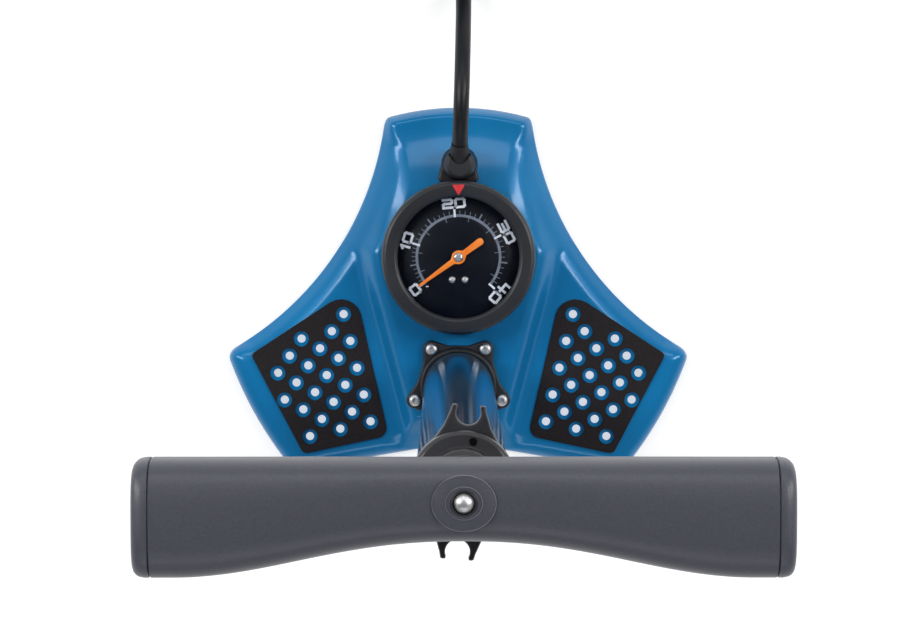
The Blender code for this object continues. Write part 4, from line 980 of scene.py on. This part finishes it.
def make_head():
    """The head lies on its side: a tapered hose end, a cross barrel with the socket, a slot for the lever.

    The socket's parts are drawn about Z; TO_SOCKET turns them along +Y, onto the socket's axis.
    """
    grip = rounded_section([(0, 58.0, 0), (7.9, 58.0, 1.2), (7.9, 34.0, 0.5), (7.0, 30.0, 1.0),
                            (7.6, 20.0, 3.0), (8.0, 8.0, 2.0), (7.6, 3.0, 1.5), (5.6, 0.3, 1.2),
                            (0, 0.3, 0)])
    body = lathe("chuck_body", grip, HEAD, 64)
    body.data.transform(Matrix.Rotation(math.radians(90), 4, "Y"))
    barrel = rounded_section([(0, 14.0, 0), (9.8, 14.0, 0.6), (9.8, -8.0, 1.2), (0, -8.0, 0)])

    def add_barrel(bm):
        turn_solid(bm, barrel, 72)
        bmesh.ops.transform(bm, matrix=TO_SOCKET, verts=bm.verts)

    def add_slot(bm):
        bmesh.ops.create_cube(bm, size=1.0)
        place = Matrix.Translation((46.1 * MM, -11.5 * MM, 0))
        size = Matrix.Diagonal((24.2 * MM, 17.0 * MM, 6.6 * MM, 1.0))
        bmesh.ops.transform(bm, matrix=place @ size, verts=bm.verts)

    def add_pin_hole(bm):
        post(bm, LEVER_PIN, -20, 20, 1.8, 24)

    cut(body, add_barrel, "UNION")
    cut(body, lambda bm: cylinder(bm, (SOCKET_X, -1, 0), (SOCKET_X, 20, 0), 6.4, 48))
    cut(body, add_slot)
    cut(body, add_pin_hole)
    keep(body, BLACK, replaces=("head_body",), smooth=35)
    pin_section = rounded_section([(0, 8.5, 0), (1.5, 8.5, 0.4), (1.5, -8.5, 0.4), (0, -8.5, 0)])
    pin = lathe("chuck_pin", pin_section, HEAD + Vector((*LEVER_PIN, 0)) * MM, 32)
    keep(pin, STEEL, replaces=("lever_pin",))
    corners = [(49.0, -9.4), (49.1, -5.6), (47.6, -4.3), (44.2, -4.3), (41.4, -8.3), (20.0, -9.1),
               (8.0, -9.6), (1.9, -10.9), (2.3, -14.0), (9.0, -13.5), (42.0, -12.6), (46.6, -11.7)]
    radii = (1.6, 1.2, 0.8, 0.8, 2.5, 10, 6, 0.9, 1.0, 6, 6, 2.0)
    lever = slab("chuck_lever", smooth_corners(corners, radii), -3.0, 3.0, 0.7, HEAD)
    cut(lever, add_pin_hole)
    keep(lever, BLACK, body="lever", replaces=("head_lever",), smooth=35)
    seal = rounded_section([(6.1, 13.8, 0.4), (6.1, 4.0, 0.4), (3.4, 4.0, 0.4), (3.4, 13.8, 0.9)])
    gasket = lathe("chuck_gasket", seal, HEAD, 48)
    gasket.data.transform(TO_SOCKET)
    keep(gasket, RUBBER, replaces=("head_gasket",), smooth=35)
    knurl = rounded_section([(4.3, 20.0, 0.4), (8.4, 20.0, 1.0), (9.6, 18.6, 0.3), (9.6, 14.6, 0.3),
                             (9.2, 14.3, 0), (4.3, 14.3, 0)])
    collar = lathe("chuck_collar", knurl, HEAD, 72)

    def add_grooves(bm):
        for k in range(24):
            angle = math.radians(15 * k)
            post(bm, (9.75 * math.cos(angle), 9.75 * math.sin(angle)), 13, 19, 0.5, 8)

    cut(collar, add_grooves)
    collar.data.transform(TO_SOCKET)
    keep(collar, ALUMINIUM, replaces=("head_collar",), smooth=30)
    return body, pin, gasket, collar, lever


def make_feet():
    section = rounded_section([(0, 4.0, 0), (7.6, 4.0, 0.3), (8.0, 2.4, 0.5), (7.7, 0.0, 0.5),
                               (5.0, 0.0, 0.3), (4.4, 0.6, 0.3), (0, 0.6, 0)])
    for name, place in FEET.items():
        foot = lathe("rubber_" + name, section, AXIS + Vector((*place, 0)) * MM, 64)
        keep(foot, RUBBER, replaces=(name,), smooth=35)


# ---- inner parts, which keep their CAD shapes ----

CAD_LOOKS = {
    "cylinder_liner": ALUMINIUM, "valve_block": BLACK, "intake_flap": RUBBER, "outlet_ball": STEEL,
    "outlet_spring": STEEL, "air_duct": BLACK, "bourdon_tube": BRASS, "bourdon_socket": BRASS,
    "movement_plate": BRASS, "sector_gear": BRASS, "needle_arbor": BRASS, "gauge_stem": BRASS,
    "rod_bushing": BRASS, "cylinder_head": BLACK, "rod_seal": RUBBER, "upper_intake_flap": RUBBER,
    "piston_head": BLACK, "piston_cup_upper": RUBBER, "piston_cup_lower": RUBBER,
}


def dress_cad_nodes():
    for name, mat in CAD_LOOKS.items():
        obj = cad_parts[name]
        obj.data.materials.clear()
        obj.data.materials.append(mat)
        for polygon in obj.data.polygons:
            polygon.material_index = 0
        obj.data.shade_smooth()
        obj.data.set_sharp_from_angle(angle=math.radians(32))


for make in (make_camera, make_studio, make_base, make_grip_pads, make_feet, make_flange, make_barrel,
             make_gauge_case, make_bezel, make_lens, make_dial, make_needle, make_top_cap, make_rod_parts,
             make_handle, make_handle_inlay, dress_cad_nodes, make_gland):
    make()
relief = make_relief()
head_parts = make_head()
hose, hose_length, hose_exit = make_hose()
